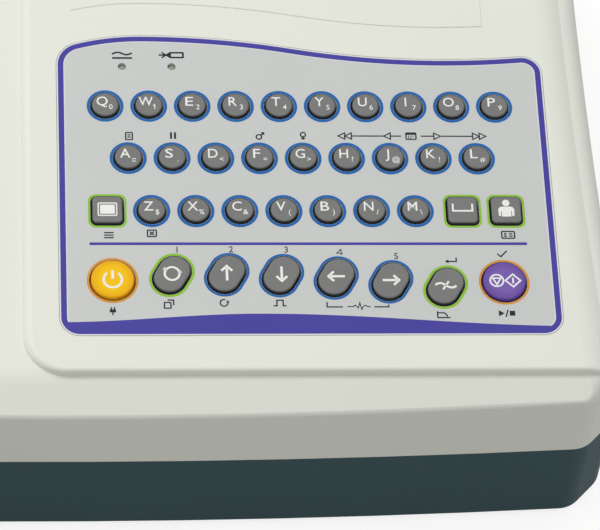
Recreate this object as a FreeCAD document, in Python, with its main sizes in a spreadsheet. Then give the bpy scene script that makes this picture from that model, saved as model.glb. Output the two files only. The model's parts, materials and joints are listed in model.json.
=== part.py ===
"""Portable ECG recorder: a keypad and screen on a raised deck, a paper bay on the left.

Frame: X to the right, Y to the back, Z up, millimetres. The feet stand on Z = 0 and
the middle of the whole thing, with the earth pin that sticks out behind, is X = Y = 0.
"""
import FreeCAD, Part
import math
import os
import Sketcher
from FreeCAD import Placement, Rotation, Vector

doc = FreeCAD.newDocument("ecg_recorder")

# Driving sizes in millimetres and degrees. Every shape reads them from the sheet.
SIZES = {
    # case in plan
    "door_margin": 30.0,
    "door_step_gap": 11.3,
    "plateau_side": 10.6,
    "plateau_margin": 11.4,
    "overlay_margin": 18.3,
    "back_margin": 22.3,
    "front_bow": 4.2,
    "side_taper": 3.4,
    "turn_front": 129.0,
    "turn_back": 2100.0,
    "taper_run": 16.0,
    "side_lead": 1.0,
    "corner_front": 10.0,
    "corner_soft": 8.5,
    "corner_back": 18.0,
    # case in side view
    "wall": 2.5,
    "foot_height": 2.5,
    "base_height": 34.1,
    "band_height": 23.2,
    "apron_length": 10.8,
    "apron_tilt": 28.6,
    "deck_tilt": 6.0,
    "crease_round": 15.0,
    "deck_round": 7.0,
    "edge_round": 1.5,
    "base_round": 1.5,
    # raised part of the deck
    "step_height": 2.5,
    "step_round": 1.2,
    "step_soft": 2.8,
    "plateau_inset": 1.5,
    "plateau_round": 12.0,
    "plateau_corner": 12.5,
    # keys
    "key_pitch": 13.0,
    "row_pitch": 18.15,
    "letter_size": 8.0,
    "square_size": 8.9,
    "square_corner": 1.4,
    "square_shift": 1.0,
    "round_size": 12.6,
    "oval_width": 9.2,
    "oval_length": 12.4,
    "oval_lean": 30.0,
    "oval_first": 18.4,
    "oval_end_gap": 17.4,
    "bottom_gap": 21.5,
    "bottom_arc": 526.0,
    "bottom_apex": 32.0,
    "power_u": 1.1,
    "power_drop": 1.9,
    "start_set": 2.2,
    "start_drop": 2.6,
    "key_gap": 0.55,
    "key_proud": 1.0,
    "key_round": 0.6,
    "key_travel": 0.8,
    "flange_reach": 1.4,
    "flange_thick": 0.8,
    # printed overlay
    "overlay_thick": 0.5,
    "overlay_gap": 0.15,
    "overlay_side": 14.4,
    "overlay_foot": 20.1,
    "overlay_corner": 6.0,
    "overlay_shoulder": 8.0,
    "hump_u": 11.0,
    "hump_v": 25.1,
    "hump_radius": 70.0,
    "trough_u": 101.7,
    "trough_v": 16.9,
    # indicator holes
    "led_first": 5.3,
    "led_second": 20.2,
    "led_v": 14.0,
    "led_size": 2.5,
    "led_gap": 0.2,
    "led_set": 0.9,
    # keypad mat and board
    "mat_thick": 1.0,
    "dome_spare": 1.2,
    "dome_inset": 1.2,
    "mat_margin": 3.0,
    "board_thick": 1.6,
    "board_margin": 3.0,
    "board_back": 11.5,
    "board_foot": 4.0,
    "chip_u": 50.0,
    "chip_v": 18.0,
    "chip_size": 22.0,
    "chip_thick": 2.0,
    "header_u": 50.0,
    "header_v": 54.0,
    "header_length": 34.0,
    "header_width": 8.0,
    "header_height": 5.0,
    "board_post": 2.0,
    "post_gap": 0.5,
    # screen
    "pad_height": 0.3,
    "pad_round": 0.25,
    "pad_front": 11.5,
    "pad_edge": 5.5,
    "pad_corner": 8.0,
    "window_width": 114.0,
    "window_depth": 70.0,
    "window_corner": 4.0,
    "window_thick": 1.5,
    "window_gap": 0.15,
    "window_ledge": 3.0,
    "window_side": 41.0,
    "window_front_gap": 16.9,
    "lcd_margin": 3.5,
    "lcd_thick": 6.0,
    # paper bay and door
    "door_thick": 2.5,
    "door_gap": 0.6,
    "slot_gap": 1.8,
    "hinge_gap": 1.8,
    "hinge_v": 84.0,
    "hinge_radius": 4.5,
    "trunnion_size": 4.0,
    "trunnion_length": 4.0,
    "turn_gap": 0.1,
    "side_play": 0.4,
    "lug_thick": 5.0,
    "lug_reach": 4.5,
    "cheek_thick": 2.5,
    "cheek_set": 1.0,
    "cheek_half": 6.0,
    "platen_v": 21.0,
    "platen_depth": 13.0,
    "platen_size": 13.0,
    "platen_shaft": 5.0,
    "platen_lead": 9.5,
    "gear_module": 0.8,
    "platen_teeth": 22.0,
    "pinion_teeth": 18.0,
    "gear_width": 3.5,
    "mesh_gap": 0.12,
    "rib_thick": 2.5,
    "rib_top": 56.0,
    "rib_ahead": 76.0,
    "rib_behind": 38.0,
    "paper_width": 80.0,
    "paper_play": 1.1,
    "roll_size": 48.0,
    "core_size": 16.0,
    "spindle_size": 8.0,
    "spindle_play": 0.3,
    "roll_behind": 54.6,
    "roll_z": 37.0,
    # print head and drive
    "head_thick": 7.0,
    "head_gap": 0.3,
    "head_height": 24.0,
    "head_above": 3.0,
    "head_post": 8.0,
    "head_post_span": 40.0,
    "motor_size": 25.0,
    "motor_length": 22.0,
    "motor_boss": 9.0,
    "motor_shaft": 3.0,
    "motor_plate": 1.5,
    "motor_ear": 34.0,
    # door release
    "release_length": 26.0,
    "release_width": 10.0,
    "release_proud": 1.6,
    "release_ahead": 31.5,
    # power parts in the base
    "battery_length": 95.0,
    "battery_width": 60.0,
    "battery_height": 22.0,
    "battery_round": 3.0,
    "battery_side": 83.5,
    "battery_front": 71.75,
    "hatch_margin": 6.0,
    "hatch_ear": 9.0,
    "hatch_thick": 1.5,
    "hatch_gap": 0.3,
    "hatch_corner": 5.0,
    "hatch_ledge": 5.0,
    "power_length": 95.0,
    "power_width": 58.0,
    "power_side": 83.5,
    "power_back": 60.25,
    "power_lift": 5.0,
    "power_post": 5.0,
    "coil_size": 26.0,
    "coil_height": 17.0,
    "capacitor_size": 12.0,
    "capacitor_height": 18.0,
    # sockets
    "socket_z": 19.0,
    "inlet_side": 69.5,
    "inlet_width": 27.6,
    "inlet_height": 20.0,
    "inlet_wall": 1.5,
    "inlet_cavity": 16.0,
    "inlet_body": 24.0,
    "inlet_ear": 50.0,
    "inlet_flange": 23.0,
    "inlet_plate": 2.0,
    "blade_width": 2.0,
    "blade_height": 4.0,
    "blade_reach": 13.0,
    "blade_pitch": 7.0,
    "blade_drop": 2.0,
    "cutout_gap": 0.3,
    "earth_side": 107.5,
    "earth_size": 6.0,
    "earth_reach": 12.0,
    "earth_collar": 11.0,
    "earth_collar_thick": 1.5,
    "earth_groove": 1.0,
    "earth_groove_set": 9.0,
    "earth_thread": 4.0,
    "patient_set": 42.0,
    "patient_flange": 39.2,
    "patient_flange_height": 12.6,
    "patient_plate": 1.2,
    "patient_shell": 25.0,
    "patient_shell_height": 8.4,
    "patient_shell_lean": 10.0,
    "patient_shell_corner": 2.1,
    "patient_reach": 4.5,
    "patient_body": 11.0,
    "patient_body_depth": 9.0,
    "patient_lock": 33.3,
    "patient_lock_size": 5.0,
    "patient_hole": 1.2,
    "contact_pitch": 2.77,
    # fasteners and feet
    "boss_size": 7.0,
    "post_size": 9.0,
    "screw_size": 3.0,
    "screw_length": 20.0,
    "screw_head": 5.6,
    "screw_head_height": 1.8,
    "screw_seat": 18.0,
    "screw_gap": 0.1,
    "screw_spare": 1.0,
    "screw_front_side": 15.5,
    "screw_front_set": 31.75,
    "screw_back_side": 21.0,
    "screw_back_set": 14.0,
    "screw_mid_gap": 6.5,
    "foot_size": 14.0,
    "foot_front_side": 29.5,
    "foot_front_set": 23.75,
    "foot_back_side": 41.0,
    "foot_back_set": 14.25,
}

sheet = doc.addObject("Spreadsheet::Sheet", "dims")
for row, (alias, value) in enumerate(SIZES.items(), start=1):
    sheet.set("A%d" % row, alias)
    sheet.set("B%d" % row, str(value))
    sheet.setAlias("B%d" % row, alias)
doc.recompute()


def size(alias):
    """A driving size, read back from the sheet."""
    return float(sheet.get(alias))


# Sizes used in many places.
wall = size("wall")
tilt = math.radians(size("deck_tilt"))
apron = math.radians(size("apron_tilt"))
taper = math.radians(size("side_taper"))
step = size("step_height")
pitch = size("key_pitch")

# Keypad extents on the deck, counted from the first letter key: u to the right, v to the back.
LETTER_ROWS = ["qwertyuiop", "asdfghjkl", "zxcvbnm"]
last_key_u = (len(LETTER_ROWS[0]) - 1) * pitch + size("square_shift")
square_row = (len(LETTER_ROWS) - 1) * size("row_pitch")
bottom_row = square_row + size("bottom_gap")
overlay_left = -size("overlay_side")
overlay_right = last_key_u + size("overlay_side")
overlay_front = -bottom_row - size("overlay_foot")

# Across: the platen takes the paper, the door the platen, and the case the door and the keypad.
rubber_width = size("paper_width") + size("paper_play")
cheek_room = size("cheek_set") + size("cheek_thick")
gear_room = size("gear_width") + 2 * size("cheek_set")
door_width = rubber_width + 2 * cheek_room + size("side_play") + gear_room
keypad_width = size("plateau_side") + overlay_right - overlay_left + size("overlay_margin")
half_width = (size("door_margin") + door_width + size("door_step_gap") + keypad_width) / 2
first_key_x = half_width - size("overlay_margin") - overlay_right
plateau_left = first_key_x + overlay_left - size("plateau_side")
door_right = plateau_left - size("door_step_gap")
door_left = door_right - door_width

# From front to back along the deck: keypad, screen, and what is left behind the screen.
first_row_back = size("plateau_margin") - overlay_front
window_front = size("hump_v") + size("window_front_gap")
window_back = window_front + size("window_depth")
case_depth = size("apron_length") + (first_row_back + window_back) * math.cos(tilt) + size("back_margin")
rear_reach = size("earth_reach") + size("earth_collar_thick")
y_front = -(case_depth + rear_reach) / 2
y_back = y_front + case_depth

# Heights and the line where the apron meets the deck.
floor_z = size("foot_height") + wall
seam_z = size("foot_height") + size("base_height")
crease_y = y_front + size("apron_length")
crease_z = seam_z + size("band_height") + size("apron_length") * math.tan(apron)
far = 4 * half_width

# Frame of the raised deck: origin under the first letter key, u = X, v up the slope, w out.
first_key = Vector(
    first_key_x,
    crease_y + first_row_back * math.cos(tilt),
    crease_z + step / math.cos(tilt) + first_row_back * math.sin(tilt),
)
deck_frame = Placement(first_key, Rotation(Vector(1, 0, 0), size("deck_tilt")))


def on_deck(u, v, w=0.0):
    """World point of a deck position."""
    return deck_frame.multVec(Vector(u, v, w))


def deck_place(u, v, w=0.0, turn=0.0):
    """Placement on the deck, turned about the deck normal."""
    return deck_frame * Placement(Vector(u, v, w), Rotation(Vector(0, 0, 1), turn))


def moved(shape, placement):
    """Copy of a shape, put where the placement says."""
    copy = shape.copy()
    copy.Placement = placement * copy.Placement
    return copy


def feature(label, shape):
    """Document object that holds a shape made in code."""
    obj = doc.addObject("Part::Feature", label)
    obj.Label = label
    obj.Shape = shape
    return obj


def prism(outline, bottom, top):
    """Upright solid over a flat closed outline drawn at height zero."""
    solid = Part.Face(outline).extrude(Vector(0, 0, top - bottom))
    solid.translate(Vector(0, 0, bottom))
    return solid


def block(x0, x1, y0, y1, z0, z1):
    """Solid box between two corners."""
    return Part.makeBox(x1 - x0, y1 - y0, z1 - z0, Vector(x0, y0, z0))


def rod(radius, start, length, axis=Vector(0, 0, 1)):
    """Solid cylinder from a start point along an axis."""
    return Part.makeCylinder(radius, length, start, axis)


def is_upright(edge):
    box = edge.BoundBox
    return box.XLength < 1e-4 and box.YLength < 1e-4


def upright_edges(solid):
    return [edge for edge in solid.Edges if is_upright(edge)]


def rounded_rectangle(width, depth, corner):
    """Closed outline of a rectangle about the origin with round corners."""
    plate = block(-width / 2, width / 2, -depth / 2, depth / 2, 0, 1)
    plate = plate.makeFillet(corner, upright_edges(plate))
    return bottom_outline(plate)


def bottom_outline(solid):
    """Outline of the flat face a solid stands on at height zero."""
    floor = [f for f in solid.Faces if f.BoundBox.ZMax < 1e-6]
    return floor[0].OuterWire


def stadium(width, length):
    """Closed outline of a slot along Y: two straight sides and two half circles."""
    radius = width / 2
    half = (length - width) / 2
    right = Part.makeLine(Vector(radius, -half, 0), Vector(radius, half, 0))
    back = Part.Arc(Vector(radius, half, 0), Vector(0, half + radius, 0), Vector(-radius, half, 0))
    left = Part.makeLine(Vector(-radius, half, 0), Vector(-radius, -half, 0))
    front = Part.Arc(Vector(-radius, -half, 0), Vector(0, -half - radius, 0), Vector(radius, -half, 0))
    return Part.Wire([right, back.toShape(), left, front.toShape()])


# Case outline in plan: bowed front with its corners cut off, sides that draw in, straight back.
def mirrored(point):
    return Vector(-point.x, point.y, point.z)


side_half = taper / 2
turn_front = size("turn_front")
turn_back = size("turn_back")
corner_reach = size("corner_front") + size("corner_soft") * math.tan(math.pi / 8)
corner_y = y_front + size("front_bow") + corner_reach
side_a = Vector(half_width, corner_y + size("side_lead"), 0)
side_b = side_a + Vector(-turn_front * (1 - math.cos(taper)), turn_front * math.sin(taper), 0)
side_ab = side_a + Vector(-turn_front * (1 - math.cos(side_half)), turn_front * math.sin(side_half), 0)
side_c = side_b + Vector(-size("taper_run") * math.tan(taper), size("taper_run"), 0)
turn_centre = side_c + Vector(turn_back * math.cos(taper), turn_back * math.sin(taper), 0)
side_d = turn_centre - Vector(turn_back, 0, 0)
side_cd = turn_centre - Vector(turn_back * math.cos(side_half), turn_back * math.sin(side_half), 0)
back_corner = Vector(side_d.x, y_back, 0)


def case_outline(front_shift):
    """Outline with its front moved forward by front_shift; the corners keep their shape."""
    corner = Vector(side_a.x, y_front + size("front_bow") - front_shift, 0)
    nose = Vector(0, y_front - front_shift, 0)
    edges = [Part.Arc(mirrored(corner), nose, corner).toShape()]
    right = [
        Part.makeLine(corner, side_a),
        Part.Arc(side_a, side_ab, side_b).toShape(),
        Part.makeLine(side_b, side_c),
        Part.Arc(side_c, side_cd, side_d).toShape(),
        Part.makeLine(side_d, back_corner),
    ]
    left = [edge.mirror(Vector(0, 0, 0), Vector(1, 0, 0)) for edge in right]
    edges += right + [Part.makeLine(back_corner, mirrored(back_corner))] + left
    solid = prism(Part.Wire(Part.__sortEdges__(edges)), 0, 1)
    front = [e for e in upright_edges(solid) if abs(e.BoundBox.YMin - corner.y) < 1e-4]
    solid = solid.makeChamfer(size("corner_front"), front)
    cut_back = corner.y + size("corner_front")
    soft = [e for e in upright_edges(solid) if e.BoundBox.YMin < cut_back + 1e-4]
    solid = solid.makeFillet(size("corner_soft"), soft)
    back = [e for e in upright_edges(solid) if abs(e.BoundBox.YMin - y_back) < 1e-4]
    solid = solid.makeFillet(size("corner_back"), back)
    return bottom_outline(solid)


outer_outline = case_outline(0)
plateau_outline = case_outline(2 * size("corner_front"))


def inset_outline(outline, inset):
    return outline.makeOffset2D(-inset) if inset else outline


def deck_profile(drop):
    """Everything below the deck and the front apron, both lowered by drop."""
    deck_drop = drop / math.cos(tilt)
    apron_drop = drop / math.cos(apron)
    run = (deck_drop - apron_drop) / (math.tan(tilt) - math.tan(apron))
    crease = Vector(0, crease_y + run, crease_z - deck_drop + run * math.tan(tilt))
    down = Vector(0, -math.cos(apron), -math.sin(apron))
    up = Vector(0, math.cos(tilt), math.sin(tilt))
    half_turn = (apron - tilt) / 2
    lead = size("crease_round") * math.tan(half_turn)
    inward = (down + up).normalize()
    middle = crease + inward * (size("crease_round") / math.cos(half_turn) - size("crease_round"))
    front = crease + down * far / 8
    back = crease + up * far
    edges = [
        Part.makeLine(front, crease + down * lead),
        Part.Arc(crease + down * lead, middle, crease + up * lead).toShape(),
        Part.makeLine(crease + up * lead, back),
        Part.makeLine(back, Vector(0, back.y, -far)),
        Part.makeLine(Vector(0, back.y, -far), Vector(0, front.y, -far)),
        Part.makeLine(Vector(0, front.y, -far), front),
    ]
    face = Part.Face(Part.Wire(edges))
    face.translate(Vector(-far, 0, 0))
    return face.extrude(Vector(2 * far, 0, 0))


def rim_edges(solid, above):
    """Edges round the top of a deck solid, without the crease lines that run across it."""
    rim = []
    for number, edge in enumerate(solid.Edges, start=1):
        box = edge.BoundBox
        across = box.YLength < 1e-4 and box.ZLength < 1e-4 and box.YMin < y_back - 2 * wall
        if box.ZMin > above and not is_upright(edge) and not across:
            rim.append((number, edge))
    return rim


def deck_solid(inset, bottom):
    solid = prism(inset_outline(outer_outline, inset), bottom, bottom + far)
    return solid.common(deck_profile(inset))


def plateau_solid(inset, bottom):
    """Raised part of the deck with its side and back rolled over."""
    solid = prism(inset_outline(plateau_outline, inset + size("plateau_inset")), bottom, bottom + far)
    left = plateau_left + inset
    front = crease_y + inset
    limit = block(left, left + far, front, front + far, bottom, bottom + far)
    corner = [e for e in upright_edges(limit) if e.BoundBox.XMin < left + 1 and e.BoundBox.YMin < front + 1]
    limit = limit.makeFillet(size("plateau_corner") - inset, corner)
    below = block(-far, far, -far, far, -far, -inset)
    solid = solid.common(limit).common(moved(below, deck_frame))
    lip = size("plateau_corner") + size("step_round")
    rim = [edge for _, edge in rim_edges(solid, seam_z + size("band_height") / 2)]
    outer = [e for e in rim if e.BoundBox.XMax > left + lip and e.BoundBox.YMax > front + lip]
    return solid.makeFillet(size("plateau_round") - inset, outer)


def step_rim(solid):
    """Top edges of the raised deck along its left side, its corner and its front."""
    level = seam_z + size("band_height") / 2
    lip = size("plateau_corner") + size("step_round")
    chosen = []
    for number, edge in enumerate(solid.Edges, start=1):
        box = edge.BoundBox
        at_top = box.ZMin > level and not is_upright(edge)
        at_front = box.YMax < crease_y + 1e-3
        at_left = box.XMax < plateau_left + 1e-3
        at_corner = box.XMax < plateau_left + lip and box.YMax < crease_y + lip
        if at_top and (at_front or at_left or at_corner):
            chosen.append((number, edge))
    return chosen


def rolled(name, solid, rim, roll):
    """The solid with its rim rounded; along each edge the radius runs between its ends' values."""
    fillet = doc.addObject("Part::Fillet", name)
    fillet.Base = feature(name + "_block", solid)
    fillet.Edges = [
        (number, roll(edge.valueAt(edge.FirstParameter)), roll(edge.valueAt(edge.LastParameter)))
        for number, edge in rim
    ]
    doc.recompute()
    return fillet.Shape


def deck_roll(point):
    """The lower deck is crisp along its front and rolls over at the cut corners and round the back."""
    if point.y > corner_y or abs(point.x) > half_width - size("corner_front"):
        return size("deck_round")
    return size("edge_round")


def step_roll(point):
    """The raised deck's edge is crisp along its front and soft along its left side."""
    return size("step_round") if point.y < crease_y + 1e-3 else size("step_soft")


# Keys: label, kind, deck position and lean.
OVAL_KEYS = ["key_mode", "key_up", "key_down", "key_left", "key_right", "key_filter"]
start_u = last_key_u - size("start_set")
oval_pitch = (start_u - size("oval_end_gap") - size("oval_first")) / (len(OVAL_KEYS) - 1)
power_v = -bottom_row - size("power_drop")
keys = []
for row, letters in enumerate(LETTER_ROWS):
    start = row * pitch / 2
    for column, letter in enumerate(letters):
        keys.append(("key_" + letter, "letter", start + pitch * column, -row * size("row_pitch"), 0.0))
keys.append(("key_menu", "square", 0.0, -square_row, 0.0))
keys.append(("key_space", "square", last_key_u - pitch, -square_row, 0.0))
keys.append(("key_patient", "square", last_key_u, -square_row, 0.0))
keys.append(("key_power", "round", size("power_u"), power_v, 0.0))
for number, label in enumerate(OVAL_KEYS):
    u = size("oval_first") + number * oval_pitch
    sag = (u - size("bottom_apex")) ** 2 / (2 * size("bottom_arc"))
    keys.append((label, "oval", u, -bottom_row - sag, -size("oval_lean")))
keys.append(("key_start", "round", start_u, -bottom_row - size("start_drop"), 0.0))

KEY_SIZES = {
    "letter": ("letter_size", "letter_size"),
    "round": ("round_size", "round_size"),
    "square": ("square_size", "square_size"),
    "oval": ("oval_width", "oval_length"),
}


def key_outline(kind, grow):
    """Plan outline of a key, or of its hole, larger all round by grow."""
    width, length = (size(name) + 2 * grow for name in KEY_SIZES[kind])
    if kind == "square":
        return rounded_rectangle(width, length, size("square_corner") + max(grow, 0))
    if kind == "oval":
        return stadium(width, length)
    return Part.Wire(Part.makeCircle(width / 2))


# Heights along the deck normal, counted down from the top of the overlay.
flange_top = -wall
flange_bottom = flange_top - size("flange_thick")
mat_top = flange_bottom - size("key_travel") - size("dome_spare")
board_top = mat_top - size("mat_thick")
board_bottom = board_top - size("board_thick")


def overlay_outline():
    """Printed sheet: straight sides and bottom, a long S-shaped top edge."""
    left = overlay_left
    right = overlay_right
    bottom = overlay_front
    hump = Vector(size("hump_u"), size("hump_v"), 0)
    trough = Vector(size("trough_u"), size("trough_v"), 0)
    across = trough - hump
    half_turn = math.atan2(-across.y, across.x)
    radius = across.x / (2 * math.sin(2 * half_turn))

    def sag_point(top, reach, bend):
        """Point on an arc of radius bend that is level at top, reach to the right of it."""
        drop = abs(bend) - math.sqrt(bend * bend - reach * reach)
        return Vector(top.x + reach, top.y - math.copysign(drop, bend), 0)

    hump_left = sag_point(hump, left - hump.x, size("hump_radius"))
    hump_mid = sag_point(hump, (left - hump.x) / 2, size("hump_radius"))
    fall = sag_point(hump, across.x / 4, radius)
    turn = hump + across / 2
    rise = sag_point(trough, -across.x / 4, -radius)
    trough_right = sag_point(trough, right - trough.x, -radius)
    trough_mid = sag_point(trough, (right - trough.x) / 2, -radius)
    low_left = Vector(left, bottom, 0)
    low_right = Vector(right, bottom, 0)
    edges = [
        Part.makeLine(low_left, low_right),
        Part.makeLine(low_right, trough_right),
        Part.Arc(trough_right, trough_mid, trough).toShape(),
        Part.Arc(trough, rise, turn).toShape(),
        Part.Arc(turn, fall, hump).toShape(),
        Part.Arc(hump, hump_mid, hump_left).toShape(),
        Part.makeLine(hump_left, low_left),
    ]
    solid = prism(Part.Wire(edges), 0, 1)
    shoulder = [e for e in upright_edges(solid) if abs(e.BoundBox.XMin - left) < 1e-4 and e.BoundBox.YMin > 0]
    solid = solid.makeFillet(size("overlay_shoulder"), shoulder)
    others = []
    for edge in upright_edges(solid):
        box = edge.BoundBox
        if abs(box.XMin - right) < 1e-4 or (abs(box.XMin - left) < 1e-4 and abs(box.YMin - bottom) < 1e-4):
            others.append(edge)
    solid = solid.makeFillet(size("overlay_corner"), others)
    return bottom_outline(solid)


def key_holes(grow, bottom, top):
    """Prisms through every key position, in the deck frame."""
    return [
        moved(prism(key_outline(kind, grow), bottom, top), Placement(
            Vector(u, v, 0), Rotation(Vector(0, 0, 1), lean)))
        for _, kind, u, v, lean in keys
    ]


led_places = [(size("led_first"), size("led_v")), (size("led_second"), size("led_v"))]


def led_rods(radius, bottom, top):
    return [rod(radius, Vector(u, v, bottom), top - bottom) for u, v in led_places]


overlay_wire = overlay_outline()
overlay_top = size("overlay_thick")
overlay_sheet = prism(overlay_wire, -overlay_top, 0)
overlay_sheet = overlay_sheet.cut(key_holes(size("key_gap"), -2 * overlay_top, overlay_top))
overlay_sheet = overlay_sheet.cut(led_rods(size("led_size") / 2, -2 * overlay_top, overlay_top))
key_overlay = feature("key_overlay", overlay_sheet)
key_overlay.Placement = deck_frame


# Paper door, hinge and platen places. The lower deck lies one step below the raised one.
deck_w = -step
platen_v = -size("platen_v")
door_front = platen_v - size("platen_lead")
hinge_w = deck_w - size("hinge_radius")
platen_w = deck_w - size("platen_depth")


def at_x(x):
    """Deck u of a world X."""
    return x - first_key_x


platen_axis = on_deck(0, platen_v, platen_w)
mesh_reach = size("gear_module") * (size("platen_teeth") + size("pinion_teeth")) / 2 + size("mesh_gap")
pinion_axis = on_deck(0, platen_v, platen_w - mesh_reach)
cheek_right = door_right - size("cheek_set")
cheek_left = door_left + size("cheek_set")
rubber_left = door_left + cheek_room + size("side_play")
rubber_right = rubber_left + rubber_width
gear_left = rubber_right + size("cheek_set")
rib_right = door_right
rib_left = door_left
paper_x = (rubber_left + rubber_right) / 2


# Screw places in plan: three along the front, three along the back.
screw_mid_x = door_right + size("screw_mid_gap")
screw_places = []
for side, y in (
    ("screw_front_side", y_front + size("screw_front_set")),
    ("screw_back_side", y_back - size("screw_back_set")),
):
    reach = half_width - size(side)
    screw_places += [Vector(x, y, 0) for x in (-reach, screw_mid_x, reach)]
screw_seat_z = size("foot_height") + size("screw_seat")
screw_radius = size("screw_size") / 2 + size("screw_gap")


def at_height(point, z):
    return Vector(point.x, point.y, z)


# Keypad board and mat extents on the deck.
mat_left = size("power_u") - size("round_size") / 2 - size("mat_margin")
mat_right = last_key_u + size("square_size") / 2 + size("mat_margin")
mat_front = power_v - size("round_size") / 2 - size("mat_margin")
mat_back = size("letter_size") / 2 + size("mat_margin")
board_left = mat_left - size("board_margin")
board_right = mat_right + size("board_margin")
board_front = mat_front - size("board_foot") - size("board_post")
board_back = mat_back + size("board_back")
board_posts = [
    (u, v)
    for u in (mat_left, mat_right)
    for v in (mat_front - size("board_post") - size("post_gap"), size("led_v"))
]


window_u = half_width - size("window_side") - size("window_width") / 2 - first_key_x
window_v = (window_front + window_back) / 2


def screen_pad():
    """Slightly raised surround of the screen; its front edge keeps off the overlay's top edge."""
    wave = overlay_wire.makeOffset2D(size("pad_front"))
    reach = size("pad_height") + wall / 2
    width = size("window_width") + 2 * size("pad_edge")
    depth = window_back + size("pad_edge")
    pad = prism(rounded_rectangle(width, depth, size("pad_corner")), -wall / 2, size("pad_height"))
    pad.translate(Vector(window_u, depth / 2, 0))
    pad = pad.cut(prism(wave, -reach, 2 * reach))
    rim = [e for e in pad.Edges if e.BoundBox.ZMin > size("pad_height") - 1e-4]
    return pad.makeFillet(size("pad_round"), rim)


def window_plate(grow, bottom, top):
    outline = rounded_rectangle(
        size("window_width") + 2 * grow, size("window_depth") + 2 * grow, size("window_corner") + grow)
    plate = prism(outline, bottom, top)
    plate.translate(Vector(window_u, window_v, 0))
    return plate


window_bottom = size("pad_height") - size("window_thick")

# Top cover: the two deck levels as one shell, then its openings, bosses and lugs.
plateau = plateau_solid(0, seam_z)
plateau = rolled("cover_plateau", plateau, step_rim(plateau), step_roll)
plateau = plateau.common(prism(inset_outline(outer_outline, size("plateau_inset")), seam_z, far))
outer_deck = deck_solid(0, seam_z)
outer_deck = rolled("cover_deck", outer_deck, rim_edges(outer_deck, seam_z + wall), deck_roll)
cover_outer = outer_deck.fuse(plateau)
inner_deck = deck_solid(wall, seam_z - wall)
inner_rim = [edge for _, edge in rim_edges(inner_deck, seam_z + wall)]
inner_deck = inner_deck.makeFillet(size("deck_round") - wall, inner_rim)
inner_plateau = plateau_solid(wall, seam_z - wall)
inner_limit = inset_outline(outer_outline, size("plateau_inset") + wall)
inner_plateau = inner_plateau.common(prism(inner_limit, 0, far))
cover = cover_outer.cut(inner_deck.fuse(inner_plateau))
cover = cover.fuse(moved(screen_pad(), deck_frame))

bosses = [rod(size("boss_size") / 2, at_height(p, seam_z), far) for p in screw_places]
posts = [
    moved(rod(size("board_post"), Vector(u, v, board_top), wall / 2 - board_top - wall), deck_frame)
    for u, v in board_posts
]
cover = cover.fuse([boss.common(cover_outer) for boss in bosses] + posts)

lug_w0 = hinge_w - size("lug_reach")
lug_w1 = deck_w - wall / 2
lug_half = size("hinge_radius")
lugs = []
for inner, side in ((door_left - size("door_gap"), -1), (door_right + size("door_gap"), 1)):
    x0, x1 = sorted((inner, inner + side * size("lug_thick")))
    v0, v1 = size("hinge_v") - lug_half, size("hinge_v") + lug_half
    lugs.append(moved(block(at_x(x0), at_x(x1), v0, v1, lug_w0, lug_w1), deck_frame))
cover = cover.fuse(lugs)

recess = prism(overlay_wire.makeOffset2D(size("overlay_gap")), -overlay_top, step)
openings = [recess]
openings += key_holes(size("key_gap"), -2 * wall, step)
openings += led_rods(size("led_size") / 2, -2 * wall, step)
openings.append(window_plate(size("window_gap"), window_bottom, step))
openings.append(window_plate(-size("window_ledge"), -2 * wall, step))
openings.append(block(
    at_x(door_left - size("door_gap")), at_x(door_right + size("door_gap")),
    door_front - size("slot_gap"), size("hinge_v") + size("hinge_radius") + size("hinge_gap"),
    deck_w - 2 * wall, step))
release_u = at_x((door_left + door_right) / 2)
release_v = door_front - size("release_ahead")


def release_prism(grow, bottom, top):
    outline = stadium(size("release_width") + 2 * grow, size("release_length") + 2 * grow)
    return moved(prism(outline, bottom, top), Placement(
        Vector(release_u, release_v, 0), Rotation(Vector(0, 0, 1), 90)))


openings.append(release_prism(size("key_gap"), deck_w - 2 * wall, step))
trunnion_reach = size("door_gap") + size("trunnion_length") + size("side_play")
openings.append(rod(
    size("trunnion_size") / 2 + size("turn_gap"),
    Vector(at_x(door_left) - trunnion_reach, size("hinge_v"), hinge_w),
    door_width + 2 * trunnion_reach, Vector(1, 0, 0)))
cover = cover.cut([moved(tool, deck_frame) for tool in openings])
pilot = screw_seat_z + size("screw_length") + size("screw_spare")
cover = cover.cut([rod(screw_radius, at_height(p, 0), pilot) for p in screw_places])
top_cover = feature("top_cover", cover)


# Keys: a flange kept under the deck and a stem that stands proud, both padded from sketches.
def origin_plane(body, role):
    return [item for item in body.Origin.OriginFeatures if item.Role == role][0]


def flat_sketch(body, name):
    sketch = body.newObject("Sketcher::SketchObject", name)
    sketch.AttachmentSupport = (origin_plane(body, "XY_Plane"), [""])
    sketch.MapMode = "FlatFace"
    return sketch


def draw_circle(sketch, radius):
    sketch.addGeometry(Part.Circle(Vector(0, 0, 0), Vector(0, 0, 1), 5))
    sketch.addConstraint(Sketcher.Constraint("Coincident", 0, 3, -1, 1))
    sketch.addConstraint(Sketcher.Constraint("Radius", 0, 5))
    sketch.setExpression("Constraints[1]", radius)


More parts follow.
